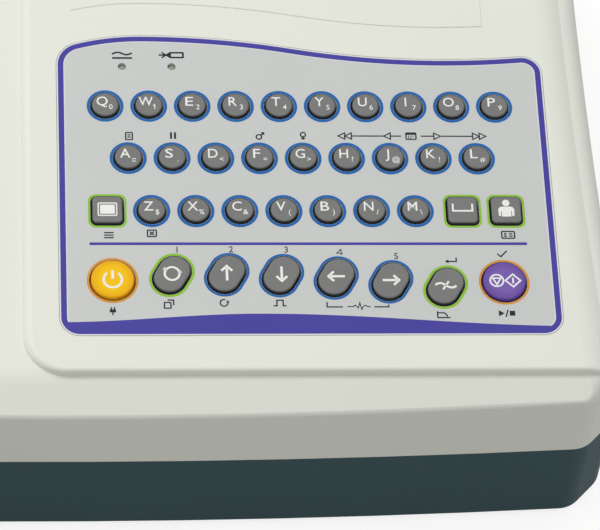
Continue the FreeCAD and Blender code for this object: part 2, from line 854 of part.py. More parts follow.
def draw_rectangle(sketch, width, depth):
    """Rectangle about the origin, held by the distances of two opposite corners."""
    corners = [Vector(-5, -5, 0), Vector(5, -5, 0), Vector(5, 5, 0), Vector(-5, 5, 0)]
    for index in range(4):
        sketch.addGeometry(Part.LineSegment(corners[index], corners[(index + 1) % 4]))
    for index in range(4):
        sketch.addConstraint(Sketcher.Constraint("Coincident", index, 2, (index + 1) % 4, 1))
    for index in (0, 2):
        sketch.addConstraint(Sketcher.Constraint("Horizontal", index))
        sketch.addConstraint(Sketcher.Constraint("Vertical", index + 1))
    limits = [
        ("DistanceX", 0, -1, width), ("DistanceY", 0, -1, depth),
        ("DistanceX", 2, 1, width), ("DistanceY", 2, 1, depth),
    ]
    for kind, line, sign, whole in limits:
        number = sketch.addConstraint(Sketcher.Constraint(kind, -1, 1, line, 1, 5 * sign))
        sketch.setExpression("Constraints[%d]" % number, "%d * (%s) / 2" % (sign, whole))


def draw_stadium(sketch, radius, half):
    """Slot along Y: two half circles and the two lines between them."""
    up = Vector(0, 0, 1)
    sketch.addGeometry(Part.ArcOfCircle(Part.Circle(Vector(0, 2, 0), up, 4), 0, math.pi))
    sketch.addGeometry(Part.ArcOfCircle(Part.Circle(Vector(0, -2, 0), up, 4), math.pi, 2 * math.pi))
    sketch.addGeometry(Part.LineSegment(Vector(-4, 2, 0), Vector(-4, -2, 0)))
    sketch.addGeometry(Part.LineSegment(Vector(4, -2, 0), Vector(4, 2, 0)))
    for first, second in (((0, 2), (2, 1)), ((2, 2), (1, 1)), ((1, 2), (3, 1)), ((3, 2), (0, 1))):
        sketch.addConstraint(Sketcher.Constraint("Tangent", first[0], first[1], second[0], second[1]))
    sketch.addConstraint(Sketcher.Constraint("PointOnObject", 0, 3, -2))
    sketch.addConstraint(Sketcher.Constraint("Symmetric", 0, 3, 1, 3, -1, 1))
    number = sketch.addConstraint(Sketcher.Constraint("Radius", 0, 4))
    sketch.setExpression("Constraints[%d]" % number, radius)
    number = sketch.addConstraint(Sketcher.Constraint("DistanceY", -1, 1, 0, 3, 2))
    sketch.setExpression("Constraints[%d]" % number, half)


def pad_sketch(body, name, sketch, length):
    pad = body.newObject("PartDesign::Pad", name)
    pad.Profile = sketch
    pad.setExpression("Length", length)
    sketch.Visibility = False
    doc.recompute()
    return pad


def round_edges(body, name, base, edges, radius):
    fillet = body.newObject("PartDesign::Fillet", name)
    fillet.Base = (base, edges)
    fillet.setExpression("Radius", radius)
    doc.recompute()
    return fillet


def edge_names(shape, wanted):
    return ["Edge%d" % n for n, edge in enumerate(shape.Edges, start=1) if wanted(edge)]


def draw_key(sketch, kind, grow):
    """Outline of a key of one kind, larger all round by the expression grow."""
    width, length = ("dims." + name for name in KEY_SIZES[kind])
    if kind == "square":
        draw_rectangle(sketch, "%s + 2 * (%s)" % (width, grow), "%s + 2 * (%s)" % (length, grow))
    elif kind == "oval":
        draw_stadium(sketch, "%s / 2 + %s" % (width, grow), "(%s - %s) / 2" % (length, width))
    else:
        draw_circle(sketch, "%s / 2 + %s" % (width, grow))


def key_body(label, kind):
    body = doc.addObject("PartDesign::Body", label)
    body.Label = label
    flange = flat_sketch(body, label + "_flange_sketch")
    draw_key(flange, kind, "dims.flange_reach")
    pad_sketch(body, label + "_flange", flange, "dims.flange_thick")
    stem = flat_sketch(body, label + "_stem_sketch")
    draw_key(stem, kind, "0")
    height = "dims.flange_thick + dims.wall + dims.key_proud"
    solid = pad_sketch(body, label + "_stem", stem, height)
    if kind == "square":
        sharp = edge_names(solid.Shape, lambda e: is_upright(e) and e.BoundBox.ZLength > size("wall"))
        solid = round_edges(body, label + "_corners", solid, sharp, "dims.square_corner")
    top = solid.Shape.BoundBox.ZMax
    rim = edge_names(solid.Shape, lambda e: e.BoundBox.ZMin > top - 1e-4)
    round_edges(body, label + "_rim", solid, rim, "dims.key_round")
    return body


for label, kind, u, v, lean in keys:
    key_body(label, kind).Placement = deck_place(u, v, flange_bottom, lean)


# Silicone mat: one sheet with a dome under each key.
mat = block(mat_left, mat_right, mat_front, mat_back, board_top, mat_top)
mat = mat.makeFillet(size("mat_margin"), upright_edges(mat))
domes = key_holes(-size("dome_inset"), mat_top - size("mat_thick") / 2, flange_bottom)
keypad_mat = feature("keypad_mat", mat.fuse(domes))
keypad_mat.Placement = deck_frame


# Simple solids of the document, bound to the sheet.
def doc_box(name, length, width, height, place):
    obj = doc.addObject("Part::Box", name)
    for prop, expression in (("Length", length), ("Width", width), ("Height", height)):
        obj.setExpression(prop, expression)
    obj.Placement = place
    return obj


def doc_rod(name, radius, height, place):
    obj = doc.addObject("Part::Cylinder", name)
    obj.setExpression("Radius", radius)
    obj.setExpression("Height", height)
    obj.Placement = place
    return obj


def at(x, y, z, axis=None):
    """Placement at a point, its Z turned onto an axis."""
    turn = Rotation(Vector(0, 0, 1), axis) if axis else Rotation()
    return Placement(Vector(x, y, z), turn)


def joined(label, parts):
    obj = doc.addObject("Part::MultiFuse", label)
    obj.Label = label
    obj.Shapes = parts
    return obj


def grouped(label, parts):
    obj = doc.addObject("Part::Compound", label)
    obj.Label = label
    obj.Links = parts
    return obj


def plate_body(label, width, depth, thick, corner):
    """Plate about the origin with round corners."""
    body = doc.addObject("PartDesign::Body", label)
    body.Label = label
    sketch = flat_sketch(body, label + "_sketch")
    draw_rectangle(sketch, width, depth)
    pad = pad_sketch(body, label + "_pad", sketch, thick)
    sharp = edge_names(pad.Shape, is_upright)
    round_edges(body, label + "_corners", pad, sharp, corner)
    return body


along_x = Vector(1, 0, 0)

# Screen window and display module.
screen_window = plate_body(
    "screen_window", "dims.window_width", "dims.window_depth", "dims.window_thick", "dims.window_corner")
screen_window.Placement = deck_place(window_u, window_v, window_bottom)
lcd_module = plate_body(
    "lcd_module", "dims.window_width + 2 * dims.lcd_margin", "dims.window_depth + 2 * dims.lcd_margin",
    "dims.lcd_thick", "dims.window_corner / 2")
lcd_module.Placement = deck_place(window_u, window_v, -wall - size("lcd_thick"))

# Keypad board with its chip, header and two indicator light pipes.
board_length = board_right - board_left
board = [
    doc_box("board_sheet", "%f" % board_length, "%f" % (board_back - board_front), "dims.board_thick",
            deck_place(board_left, board_front, board_bottom)),
    doc_box("board_chip", "dims.chip_size", "dims.chip_size", "dims.chip_thick",
            deck_place(size("chip_u"), -size("chip_v"), board_bottom - size("chip_thick"))),
    doc_box("board_header", "dims.header_length", "dims.header_width", "dims.header_height",
            deck_place(size("header_u"), -size("header_v"), board_bottom - size("header_height"))),
]
for index, (u, v) in enumerate(led_places):
    board.append(doc_rod(
        "light_pipe_%d" % index, "dims.led_size / 2 - dims.led_gap", "%f - dims.led_set" % -board_top,
        deck_place(u, v, board_top)))
joined("main_board", board)

# Paper door: plate, hinge barrel with trunnions, two cheeks for the platen.
door_under = deck_w - size("door_thick")
door = block(at_x(door_left), at_x(door_right), door_front, size("hinge_v"), door_under, deck_w)
barrel = rod(size("hinge_radius"), Vector(at_x(door_left), size("hinge_v"), hinge_w), door_width, along_x)
pin_length = door_width + 2 * (size("door_gap") + size("trunnion_length"))
pin_start = Vector(at_x(door_left) - size("door_gap") - size("trunnion_length"), size("hinge_v"), hinge_w)
trunnions = rod(size("trunnion_size") / 2, pin_start, pin_length, along_x)
cheeks = []
for x0 in (cheek_left, cheek_right - size("cheek_thick")):
    half = size("cheek_half")
    cheek = block(
        at_x(x0), at_x(x0 + size("cheek_thick")), platen_v - half, platen_v + half,
        platen_w, deck_w - size("door_thick") / 2)
    tip = rod(half, Vector(at_x(x0), platen_v, platen_w), size("cheek_thick"), along_x)
    cheeks += [cheek, tip]
door = door.fuse([barrel, trunnions] + cheeks)
shaft_hole = rod(
    size("platen_shaft") / 2 + size("turn_gap"), Vector(at_x(door_left), platen_v, platen_w),
    door_width, along_x)
gear_tip = size("gear_module") * (size("platen_teeth") / 2 + 1)
gear_well = rod(
    gear_tip + size("side_play"), Vector(at_x(gear_left) - size("side_play") / 2, platen_v, platen_w),
    size("gear_width") + size("side_play"), along_x)
paper_door = feature("paper_door", door.cut([shaft_hole, gear_well]))
paper_door.Placement = deck_frame

# Platen: rubber sleeve on a steel shaft held by the cheeks.
platen_parts = [
    doc_rod("platen_core", "dims.platen_shaft / 2", "%f" % (cheek_right - cheek_left),
            at(cheek_left, platen_axis.y, platen_axis.z, along_x)),
    doc_rod("platen_sleeve", "dims.platen_size / 2", "%f" % rubber_width,
            at(rubber_left, platen_axis.y, platen_axis.z, along_x)),
]
joined("platen_roller", platen_parts)


def gear_outline(teeth, phase):
    """Involute spur gear of 20 degrees; phase is the angle of the middle of its first tooth."""
    module = size("gear_module")
    pitch_r = module * teeth / 2
    base_r = pitch_r * math.cos(math.radians(20))
    tip_r = pitch_r + module
    root_r = pitch_r - 1.25 * module

    def involute(radius):
        if radius <= base_r:
            return 0.0
        roll = math.sqrt((radius / base_r) ** 2 - 1)
        return roll - math.atan(roll)

    half_tooth = math.pi / (2 * teeth) - size("mesh_gap") / (2 * pitch_r) + involute(pitch_r)
    radii = [root_r] + [base_r + (tip_r - base_r) * k / 4 for k in range(5)]
    flank = [(r, half_tooth - involute(r)) for r in radii]
    points = []
    for tooth in range(teeth):
        middle = phase + 2 * math.pi * tooth / teeth
        side = [(r, middle - a) for r, a in flank] + [(r, middle + a) for r, a in reversed(flank)]
        points += [Vector(0, r * math.cos(a), r * math.sin(a)) for r, a in side]
    return Part.makePolygon(points + [points[0]])


def spur_gear(teeth, phase, bore, width):
    blank = Part.Face(gear_outline(teeth, phase)).extrude(Vector(width, 0, 0))
    return blank.cut(rod(bore / 2, Vector(-width, 0, 0), 3 * width, along_x)) if bore else blank


# The line of centres points down the deck normal: a tooth of one gear faces a gap of the other.
down_angle = -math.pi / 2 + tilt
platen_teeth = int(size("platen_teeth"))
pinion_teeth = int(size("pinion_teeth"))
platen_gear = feature("platen_gear", spur_gear(
    platen_teeth, down_angle, size("platen_shaft"), size("gear_width")))
platen_gear.Placement = at(gear_left, platen_axis.y, platen_axis.z)
pinion_phase = down_angle + math.pi + math.pi / pinion_teeth
pinion_left = gear_left - size("side_play")
pinion = spur_gear(pinion_teeth, pinion_phase, 0, size("gear_width") + 2 * size("side_play"))
shaft_length = rib_right + size("rib_thick") - pinion_left
pinion = pinion.fuse(rod(size("motor_shaft") / 2, Vector(0, 0, 0), shaft_length, along_x))
motor_pinion = feature("motor_pinion", pinion)
motor_pinion.Placement = at(pinion_left, pinion_axis.y, pinion_axis.z)

# Drive motor on the far side of the bay's right rib.
motor_x = rib_right + size("rib_thick")
motor_parts = [
    doc_rod("motor_can", "dims.motor_size / 2", "dims.motor_length",
            at(motor_x, pinion_axis.y, pinion_axis.z, along_x)),
    doc_box("motor_ears", "dims.motor_plate", "dims.motor_ear", "dims.motor_boss",
            at(motor_x, pinion_axis.y - size("motor_ear") / 2, pinion_axis.z - size("motor_boss") / 2)),
]
joined("motor_body", motor_parts)
motor_bore = doc_rod(
    "motor_bore", "dims.motor_shaft / 2 + dims.turn_gap", "dims.motor_length / 2",
    at(motor_x - size("motor_plate"), pinion_axis.y, pinion_axis.z, along_x))
drive_motor = doc.addObject("Part::Cut", "drive_motor")
drive_motor.Label = "drive_motor"
drive_motor.Base = doc.getObject("motor_body")
drive_motor.Tool = motor_bore

# Print head: a heat sink square to the deck whose face stands just in front of the platen.
head_front = platen_v - size("platen_size") / 2 - size("head_gap") - size("head_thick")
head_bottom = platen_w + size("head_above") - size("head_height")
print_head = doc_box(
    "print_head", "%f" % rubber_width, "dims.head_thick", "dims.head_height",
    deck_place(at_x(rubber_left), head_front, head_bottom))
print_head.Label = "print_head"

# Paper roll wound on a spindle whose ends lie in the slots of the two ribs.
roll_left = paper_x - size("paper_width") / 2
spindle_left = rib_left - size("rib_thick") + size("side_play")
spindle_right = rib_right + size("rib_thick") - size("side_play")
roll_at = (platen_axis.y + size("roll_behind"), size("roll_z"))
roll_end = at(roll_left, *roll_at, along_x)
paper = doc.addObject("Part::Cut", "paper_winding")
paper.Base = doc_rod("paper_outside", "dims.roll_size / 2", "dims.paper_width", roll_end)
paper.Tool = doc_rod("paper_bore", "dims.core_size / 2", "dims.paper_width", roll_end)
spindle = joined("roll_spindle", [
    doc_rod("spindle_hub", "dims.core_size / 2", "dims.paper_width", roll_end),
    doc_rod("spindle_rod", "dims.spindle_size / 2", "%f" % (spindle_right - spindle_left),
            at(spindle_left, *roll_at, along_x)),
])
grouped("paper_roll", [paper, spindle])

# Door release: a push button with a flange under the deck.
button = release_prism(0, deck_w - wall - size("flange_thick"), deck_w + size("release_proud"))
button_rim = [e for e in button.Edges if e.BoundBox.ZMin > deck_w + size("release_proud") - 1e-4]
button = button.makeFillet(size("key_round"), button_rim)
collar = release_prism(size("flange_reach"), deck_w - wall - size("flange_thick"), deck_w - wall)
door_release = feature("door_release", button.fuse(collar))
door_release.Placement = deck_frame

# Battery pack and the hatch under it.
battery_x = half_width - size("battery_side")
battery_y = y_front + size("battery_front")
battery_pack = plate_body(
    "battery_pack", "dims.battery_length", "dims.battery_width", "dims.battery_height", "dims.battery_round")
battery_pack.Placement = at(battery_x, battery_y, floor_z)
hatch_plate = plate_body(
    "hatch_plate", "dims.battery_length + 2 * dims.hatch_ear", "dims.battery_width + 2 * dims.hatch_margin",
    "dims.hatch_thick", "dims.hatch_corner")
hatch_plate.Placement = at(battery_x, battery_y, size("foot_height"))
hatch_reach = (size("battery_length") + size("hatch_ear")) / 2
hatch_screws = [Vector(battery_x + side * hatch_reach, battery_y, 0) for side in (-1, 1)]
hatch_holes = grouped("hatch_holes", [
    doc_rod("hatch_hole_%d" % index, "dims.screw_size / 2 + dims.screw_gap", "dims.hatch_thick",
            at(spot.x, spot.y, size("foot_height")))
    for index, spot in enumerate(hatch_screws)
])
battery_door = doc.addObject("Part::Cut", "battery_door")
battery_door.Label = "battery_door"
battery_door.Base = hatch_plate
battery_door.Tool = hatch_holes

# Power module on four posts of the base.
power_y = y_back - size("power_back")
power_left = half_width - size("power_side") - size("power_length") / 2
power_front = power_y - size("power_width") / 2
power_z = floor_z + size("power_lift")
power_top = power_z + size("board_thick")
joined("power_module", [
    doc_box("power_sheet", "dims.power_length", "dims.power_width", "dims.board_thick",
            at(power_left, power_front, power_z)),
    doc_box("power_coil", "dims.coil_size", "dims.coil_size", "dims.coil_height",
            at(power_left + size("power_length") / 2, power_front + size("power_post") * 2, power_top)),
    doc_rod("power_capacitor", "dims.capacitor_size / 2", "dims.capacitor_height",
            at(power_left + size("capacitor_size") + size("power_post"), power_y, power_top)),
])


# Mains inlet in the back wall: ears, a shroud with an open mouth and three blades.
inlet_x = half_width - size("inlet_side")


def inlet_part(name, width, depth, height, y0, dx=0.0, dz=0.0):
    """Box about the inlet's middle, from depth y0 in front of the back wall backwards."""
    return doc_box(name, width, depth, height, Placement(
        Vector(inlet_x + dx, y0, size("socket_z") + dz), Rotation()))


def centred(obj):
    """Move a box so that its middle in X and Z is where its corner was."""
    doc.recompute()
    obj.Placement.Base -= Vector(obj.Length.Value / 2, 0, obj.Height.Value / 2)
    return obj


inlet_face = y_back + size("inlet_plate")
shell_y = inlet_face - size("inlet_body")
inlet_solid = joined("inlet_solid", [
    centred(inlet_part("inlet_shroud", "dims.inlet_width", "dims.inlet_body", "dims.inlet_height", shell_y)),
    centred(inlet_part("inlet_ears", "dims.inlet_ear", "dims.inlet_plate", "dims.inlet_flange", y_back)),
])
inlet_mouth = centred(inlet_part(
    "inlet_mouth", "dims.inlet_width - 2 * dims.inlet_wall", "dims.inlet_cavity + dims.inlet_plate",
    "dims.inlet_height - 2 * dims.inlet_wall", inlet_face - size("inlet_cavity")))
inlet_open = doc.addObject("Part::Cut", "inlet_open")
inlet_open.Base = inlet_solid
inlet_open.Tool = inlet_mouth
blades = []
blade_root = inlet_face - size("inlet_cavity") - size("inlet_wall")
for index, (dx, dz) in enumerate(((-1, -1), (0, 1), (1, -1))):
    blades.append(centred(inlet_part(
        "inlet_blade_%d" % index, "dims.blade_width", "dims.blade_reach + dims.inlet_wall",
        "dims.blade_height", blade_root, dx * size("blade_pitch"), dz * size("blade_drop"))))
joined("mains_inlet", [inlet_open] + blades)

# Earth pin beside the inlet: collar against the wall, grooved pin behind it.
along_y = Vector(0, 1, 0)
earth_x = half_width - size("earth_side")
pin_y = y_back + size("earth_collar_thick")
earth_solid = joined("earth_solid", [
    doc_rod("earth_collar", "dims.earth_collar / 2", "dims.earth_collar_thick",
            at(earth_x, y_back, size("socket_z"), along_y)),
    doc_rod("earth_stem", "dims.earth_size / 2", "dims.earth_reach",
            at(earth_x, pin_y, size("socket_z"), along_y)),
    doc_rod("earth_thread", "dims.earth_thread / 2", "2 * dims.wall",
            at(earth_x, y_back - 2 * wall, size("socket_z"), along_y)),
])
groove = doc.addObject("Part::Torus", "earth_groove")
groove.setExpression("Radius1", "dims.earth_size / 2")
groove.setExpression("Radius2", "dims.earth_groove / 2")
groove.Placement = at(earth_x, pin_y + size("earth_groove_set"), size("socket_z"), along_y)
ground_post = doc.addObject("Part::Cut", "ground_post")
ground_post.Label = "ground_post"
ground_post.Base = earth_solid
ground_post.Tool = groove

# Patient lead socket: a two-row fifteen-way D socket on the right side wall.
patient_y = y_back - size("patient_set")
patient_at = Vector(side_d.x, patient_y, size("socket_z"))
patient_frame = Placement(patient_at, Rotation(Vector(0, 1, 0), 90))


def d_outline(length, height, corner):
    """Trapezoid with round corners, wider at one long side, centred on the origin."""
    lean = height / 2 * math.tan(math.radians(size("patient_shell_lean")))
    corners = [
        Vector(-height / 2, 2 * lean - length / 2, 0), Vector(height / 2, -length / 2, 0),
        Vector(height / 2, length / 2, 0), Vector(-height / 2, length / 2 - 2 * lean, 0),
    ]
    solid = prism(Part.makePolygon(corners + [corners[0]]), 0, 1)
    return bottom_outline(solid.makeFillet(corner, upright_edges(solid)))


patient_flange = prism(rounded_rectangle(
    size("patient_flange_height"), size("patient_flange"), size("patient_plate")), 0, size("patient_plate"))
shell_outline = d_outline(size("patient_shell"), size("patient_shell_height"), size("patient_shell_corner"))
patient_shell = prism(shell_outline, 0, size("patient_reach"))
body_half = size("patient_body") / 2
body_long = size("patient_shell") / 2
patient_back = block(-body_half, body_half, -body_long, body_long, -size("patient_body_depth"), 0)
locks = [
    rod(size("patient_lock_size") / 2, Vector(0, side * size("patient_lock") / 2, 0), size("patient_reach"))
    for side in (-1, 1)
]
contact_pitch = size("contact_pitch")
contacts = []
for row, count in ((1, 8), (-1, 7)):
    for index in range(count):
        along = (index - (count - 1) / 2) * contact_pitch
        spot = Vector(row * contact_pitch / 2, along, size("patient_plate"))
        contacts.append(rod(size("patient_hole") / 2, spot, size("patient_reach")))
patient = patient_flange.fuse([patient_shell, patient_back] + locks).cut(contacts)
patient_socket = feature("patient_socket", patient)
patient_socket.Placement = patient_frame


# Bottom case: an open tray with ribs, posts and cut-outs.
base_bottom = size("foot_height")
tray = prism(outer_outline, base_bottom, seam_z)
under_edges = [e for e in tray.Edges if e.BoundBox.ZMax < base_bottom + 1e-4]
tray = tray.makeFillet(size("base_round"), under_edges)
tray = tray.cut(prism(inset_outline(outer_outline, wall), floor_z, seam_z + wall))

ribs = []
roll_y, roll_z = roll_at
slot_r = size("spindle_size") / 2 + size("spindle_play")
for x0 in (rib_left - size("rib_thick"), rib_right):
    rib = block(
        x0, x0 + size("rib_thick"), roll_y - size("rib_ahead"), roll_y + size("rib_behind"),
        base_bottom + wall / 2, size("rib_top"))
    slot = rod(slot_r, Vector(x0 - size("rib_thick"), roll_y, roll_z), 3 * size("rib_thick"), along_x)
    way = block(
        x0 - size("rib_thick"), x0 + 2 * size("rib_thick"), roll_y - slot_r, roll_y + slot_r, roll_z, far)
    ribs.append(rib.cut([slot, way]))
shaft_way = rod(
    size("motor_boss") / 2, Vector(rib_right - size("rib_thick"), pinion_axis.y, pinion_axis.z),
    3 * size("rib_thick"), along_x)
ribs[1] = ribs[1].cut(shaft_way)

pillars = [rod(size("post_size") / 2, at_height(p, base_bottom + wall / 2), seam_z - base_bottom - wall / 2)
           for p in screw_places]
head_seat = moved(block(-far, far, -far, far, head_bottom, far), deck_frame)
for side in (-1, 1):
    post_u = at_x(paper_x) + side * size("head_post_span") / 2
    top = on_deck(post_u, head_front + size("head_thick") / 2, head_bottom)
    foot = at_height(top, base_bottom + wall / 2)
    post = rod(size("head_post") / 2, foot, top.z - foot.z + size("head_post"))
    pillars.append(post.cut(head_seat))
for x in (power_left + size("power_post"), power_left + size("power_length") - size("power_post")):
    for y in (power_front + size("power_post"), power_front + size("power_width") - size("power_post")):
        root = Vector(x, y, floor_z - wall / 2)
        pillars.append(rod(size("power_post") / 2, root, power_z - root.z))
hatch_pilot = size("foot_height") + size("screw_length") + size("screw_spare")
for spot in hatch_screws:
    root = at_height(spot, floor_z - size("hatch_thick") / 2)
    pillars.append(rod(size("boss_size") / 2, root, hatch_pilot - wall))
base = tray.fuse(ribs + pillars)

cuts = []
for p in screw_places:
    cuts.append(rod(screw_radius, at_height(p, 0), seam_z + wall))
    cuts.append(rod(size("screw_head") / 2 + 2 * size("screw_gap"), at_height(p, 0), screw_seat_z))
for spot in hatch_screws:
    cuts.append(rod(screw_radius, at_height(spot, 0), hatch_pilot))
hatch_width = size("battery_length") + 2 * size("hatch_ear")
hatch_depth = size("battery_width") + 2 * size("hatch_margin")
hatch_seat = prism(rounded_rectangle(
    hatch_width + 2 * size("hatch_gap"), hatch_depth + 2 * size("hatch_gap"), size("hatch_corner")),
    0, base_bottom + size("hatch_thick"))
hatch_way = prism(rounded_rectangle(
    size("battery_length") - 2 * size("hatch_ledge"), size("battery_width") - 2 * size("hatch_ledge"),
    size("hatch_corner")), 0, floor_z + wall)
cuts += [moved(tool, at(battery_x, battery_y, 0)) for tool in (hatch_seat, hatch_way)]
gap = size("cutout_gap")
inlet_half = size("inlet_width") / 2 + gap
inlet_tall = size("inlet_height") / 2 + gap
cuts.append(block(
    inlet_x - inlet_half, inlet_x + inlet_half, y_back - 2 * wall, y_back + wall,
    size("socket_z") - inlet_tall, size("socket_z") + inlet_tall))
cuts.append(rod(
    size("earth_thread") / 2 + gap, Vector(earth_x, y_back - 2 * wall, size("socket_z")), 3 * wall, along_y))
way_half = body_half + gap
way_long = body_long + gap
patient_way = block(-way_half, way_half, -way_long, way_long, -2 * size("patient_body_depth"), wall)
cuts.append(moved(patient_way, patient_frame))
bottom_case = feature("bottom_case", base.cut(cuts))

# Case screws and feet, each set as one group of equal pieces.
screws = []
screw_seats = [at_height(p, screw_seat_z) for p in screw_places]
screw_seats += [at_height(p, size("foot_height")) for p in hatch_screws]
for index, seat in enumerate(screw_seats):
    head = doc_rod("screw_head_%d" % index, "dims.screw_head / 2", "dims.screw_head_height",
                   at(seat.x, seat.y, seat.z - size("screw_head_height")))
    shank = doc_rod("screw_shank_%d" % index, "dims.screw_size / 2", "dims.screw_length",
                    at(seat.x, seat.y, seat.z))
    screws.append(joined("screw_%d" % index, [head, shank]))
grouped("case_screws", screws)

feet = []
foot_places = [
    (side * (half_width - size("foot_front_side")), y_front + size("foot_front_set")) for side in (-1, 1)
] + [
    (side * (half_width - size("foot_back_side")), y_back - size("foot_back_set")) for side in (-1, 1)
]
for index, (x, y) in enumerate(foot_places):
    feet.append(doc_rod("foot_%d" % index, "dims.foot_size / 2", "dims.foot_height", at(x, y, 0)))
grouped("feet", feet)

doc.recompute()

# Check every object, then write one file for each named part.
NODES = [label for label, *_ in keys] + [
    "bottom_case", "top_cover", "key_overlay", "keypad_mat", "main_board", "power_module",
    "battery_pack", "battery_door", "paper_door", "platen_roller", "platen_gear", "drive_motor",
    "motor_pinion", "print_head", "paper_roll", "door_release", "lcd_module", "screen_window",
    "patient_socket", "mains_inlet", "ground_post", "feet", "case_screws",
]
for obj in doc.Objects:
    if "Invalid" in obj.State or "Error" in obj.State:
        raise RuntimeError("%s did not recompute: %s" % (obj.Name, obj.State))
os.makedirs("parts", exist_ok=True)
for name in NODES:
    shape = doc.getObjectsByLabel(name)[0].Shape
    if shape.isNull() or not shape.isValid():
        raise RuntimeError("%s has no sound shape" % name)
    shape.exportStep("parts/%s.step" % name)
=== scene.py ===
import json
import math

import bpy
import numpy as np
from mathutils import Matrix, Vector


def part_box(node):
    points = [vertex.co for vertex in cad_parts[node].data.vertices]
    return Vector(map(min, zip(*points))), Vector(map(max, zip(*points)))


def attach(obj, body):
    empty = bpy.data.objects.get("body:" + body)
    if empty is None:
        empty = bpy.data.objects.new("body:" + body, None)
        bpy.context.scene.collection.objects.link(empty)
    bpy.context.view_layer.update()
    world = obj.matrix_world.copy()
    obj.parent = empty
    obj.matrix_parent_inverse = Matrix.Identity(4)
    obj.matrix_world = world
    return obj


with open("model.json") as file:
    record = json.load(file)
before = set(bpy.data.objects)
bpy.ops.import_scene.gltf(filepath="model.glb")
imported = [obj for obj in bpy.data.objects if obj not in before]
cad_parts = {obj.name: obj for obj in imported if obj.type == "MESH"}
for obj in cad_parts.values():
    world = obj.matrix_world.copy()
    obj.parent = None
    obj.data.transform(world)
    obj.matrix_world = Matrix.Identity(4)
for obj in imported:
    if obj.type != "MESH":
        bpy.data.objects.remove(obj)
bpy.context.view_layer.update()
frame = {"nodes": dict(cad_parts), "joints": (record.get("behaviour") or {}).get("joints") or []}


# Lower tray and battery hatch. Both are injection moulded ABS in a dark slate blue, taken from a
# tool with a fine spark-eroded grain. The hatch is screwed into the tray from below.
mm = 0.001
tray_tones = ("2F474C", "364F54")
tray_patch = 60 * mm
tray_grain = 0.5 * mm
grain_span = (0.3, 0.7)


def linear(code):
    """An sRGB hex colour as linear red, green, blue and a full alpha."""
    shares = [int(code[start:start + 2], 16) / 255 for start in (0, 2, 4)]
    return tuple(s / 12.92 if s <= 0.04045 else ((s + 0.055) / 1.055) ** 2.4 for s in shares) + (1.0,)


def add_node(material, kind, inputs=None, **settings):
    """Add one node with its settings; each input gets a constant or another node's socket."""
    node = material.node_tree.nodes.new(kind)
    for name, value in settings.items():
        setattr(node, name, value)
    for name, value in (inputs or {}).items():
        if isinstance(value, bpy.types.NodeSocket):
            material.node_tree.links.new(value, node.inputs[name])
        else:
            node.inputs[name].default_value = value
    return node


def surface(name, tones, patch, grain, depth, roughness, stretch=(1, 1, 1), sockets=None):
    """A finish of two close tones with a fine grain.

    Noise patches of the size patch blend the tones. Noise of the size grain lifts the surface by
    depth and moves the roughness between its two values. Stretch draws the grain out along an axis.
    """
    material = bpy.data.materials.new(name)
    material.use_nodes = True
    material.node_tree.nodes.clear()
    place = add_node(material, "ShaderNodeTexCoord").outputs["Object"]
    drawn = add_node(material, "ShaderNodeMapping", {"Vector": place, "Scale": stretch})
    patches = add_node(material, "ShaderNodeTexNoise", {"Vector": place, "Scale": 1 / patch, "Detail": 3.0})
    grains = add_node(material, "ShaderNodeTexNoise", {
        "Vector": drawn.outputs["Vector"], "Scale": 1 / grain, "Detail": 2.0})
    colour = add_node(material, "ShaderNodeMixRGB", {
        "Fac": patches.outputs["Fac"], "Color1": linear(tones[0]), "Color2": linear(tones[1])})
    sheen = add_node(material, "ShaderNodeMapRange", {
        "Value": grains.outputs["Fac"], "From Min": grain_span[0], "From Max": grain_span[1],
        "To Min": roughness[0], "To Max": roughness[1]})
    relief = add_node(material, "ShaderNodeBump", {"Height": grains.outputs["Fac"], "Distance": depth})
    shader = add_node(material, "ShaderNodeBsdfPrincipled", {
        "Base Color": colour.outputs["Color"], "Roughness": sheen.outputs["Result"],
        "Normal": relief.outputs["Normal"], **(sockets or {})})
    add_node(material, "ShaderNodeOutputMaterial", {"Surface": shader.outputs["BSDF"]})
    return material


def dress(material, *nodes):
    """Give CAD nodes their finish."""
    for node in nodes:
        for slot in frame["nodes"][node].material_slots:
            slot.material = material


# Moulded ABS, spark grain: a dull satin sheen that hides scratches. The real grain is about
# 0.15 mm wide and is drawn coarser here so that it shows.
slate_abs = surface(
    "slate_abs_spark_grain", tray_tones, tray_patch, tray_grain, 0.012 * mm, (0.5, 0.65),
    sockets={"IOR": 1.53, "Specular IOR Level": 0.12})
dress(slate_abs, "bottom_case", "battery_door")


# Feet. Four moulded discs of black rubber, stuck under the floor of the tray. Their lower faces
# are a little rough so that they grip.
rubber_tones = ("1C1C1D", "28282A")

# Nitrile rubber: almost black, dry and dull.
foot_rubber = surface(
    "nitrile_rubber_moulded", rubber_tones, 5 * mm, 0.4 * mm, 0.02 * mm, (0.7, 0.85), sockets={"IOR": 1.52})
dress(foot_rubber, "feet")


# Case screws. Pan head steel screws: six are driven up through the tray into bosses of the cover, and
# two hold the hatch. They are zinc plated under a thin clear passivation.
zinc_tones = ("B9BBBC", "A4A7A9")

# Zinc plated steel: a soft grey mirror with fine scratches from tumbling.
zinc_steel = surface(
    "zinc_plated_steel", zinc_tones, 2 * mm, 0.15 * mm, 0.003 * mm, (0.28, 0.42), sockets={"Metallic": 1.0})
dress(zinc_steel, "case_screws")


# Battery pack and power board. The cells are held in heat-shrunk blue sleeve; the power board is
# glass epoxy under green solder mask, on posts of the tray.
sleeve_tones = ("2A4C8F", "345AA3")
mask_tones = ("1D6B3C", "237A46")

# Heat-shrunk PVC: glossy, drawn tight, with faint ripples a few millimetres wide.
shrunk_pvc = surface(
    "shrunk_pvc_sleeve", sleeve_tones, 20 * mm, 3 * mm, 0.05 * mm, (0.25, 0.35), sockets={"IOR": 1.53})
dress(shrunk_pvc, "battery_pack")

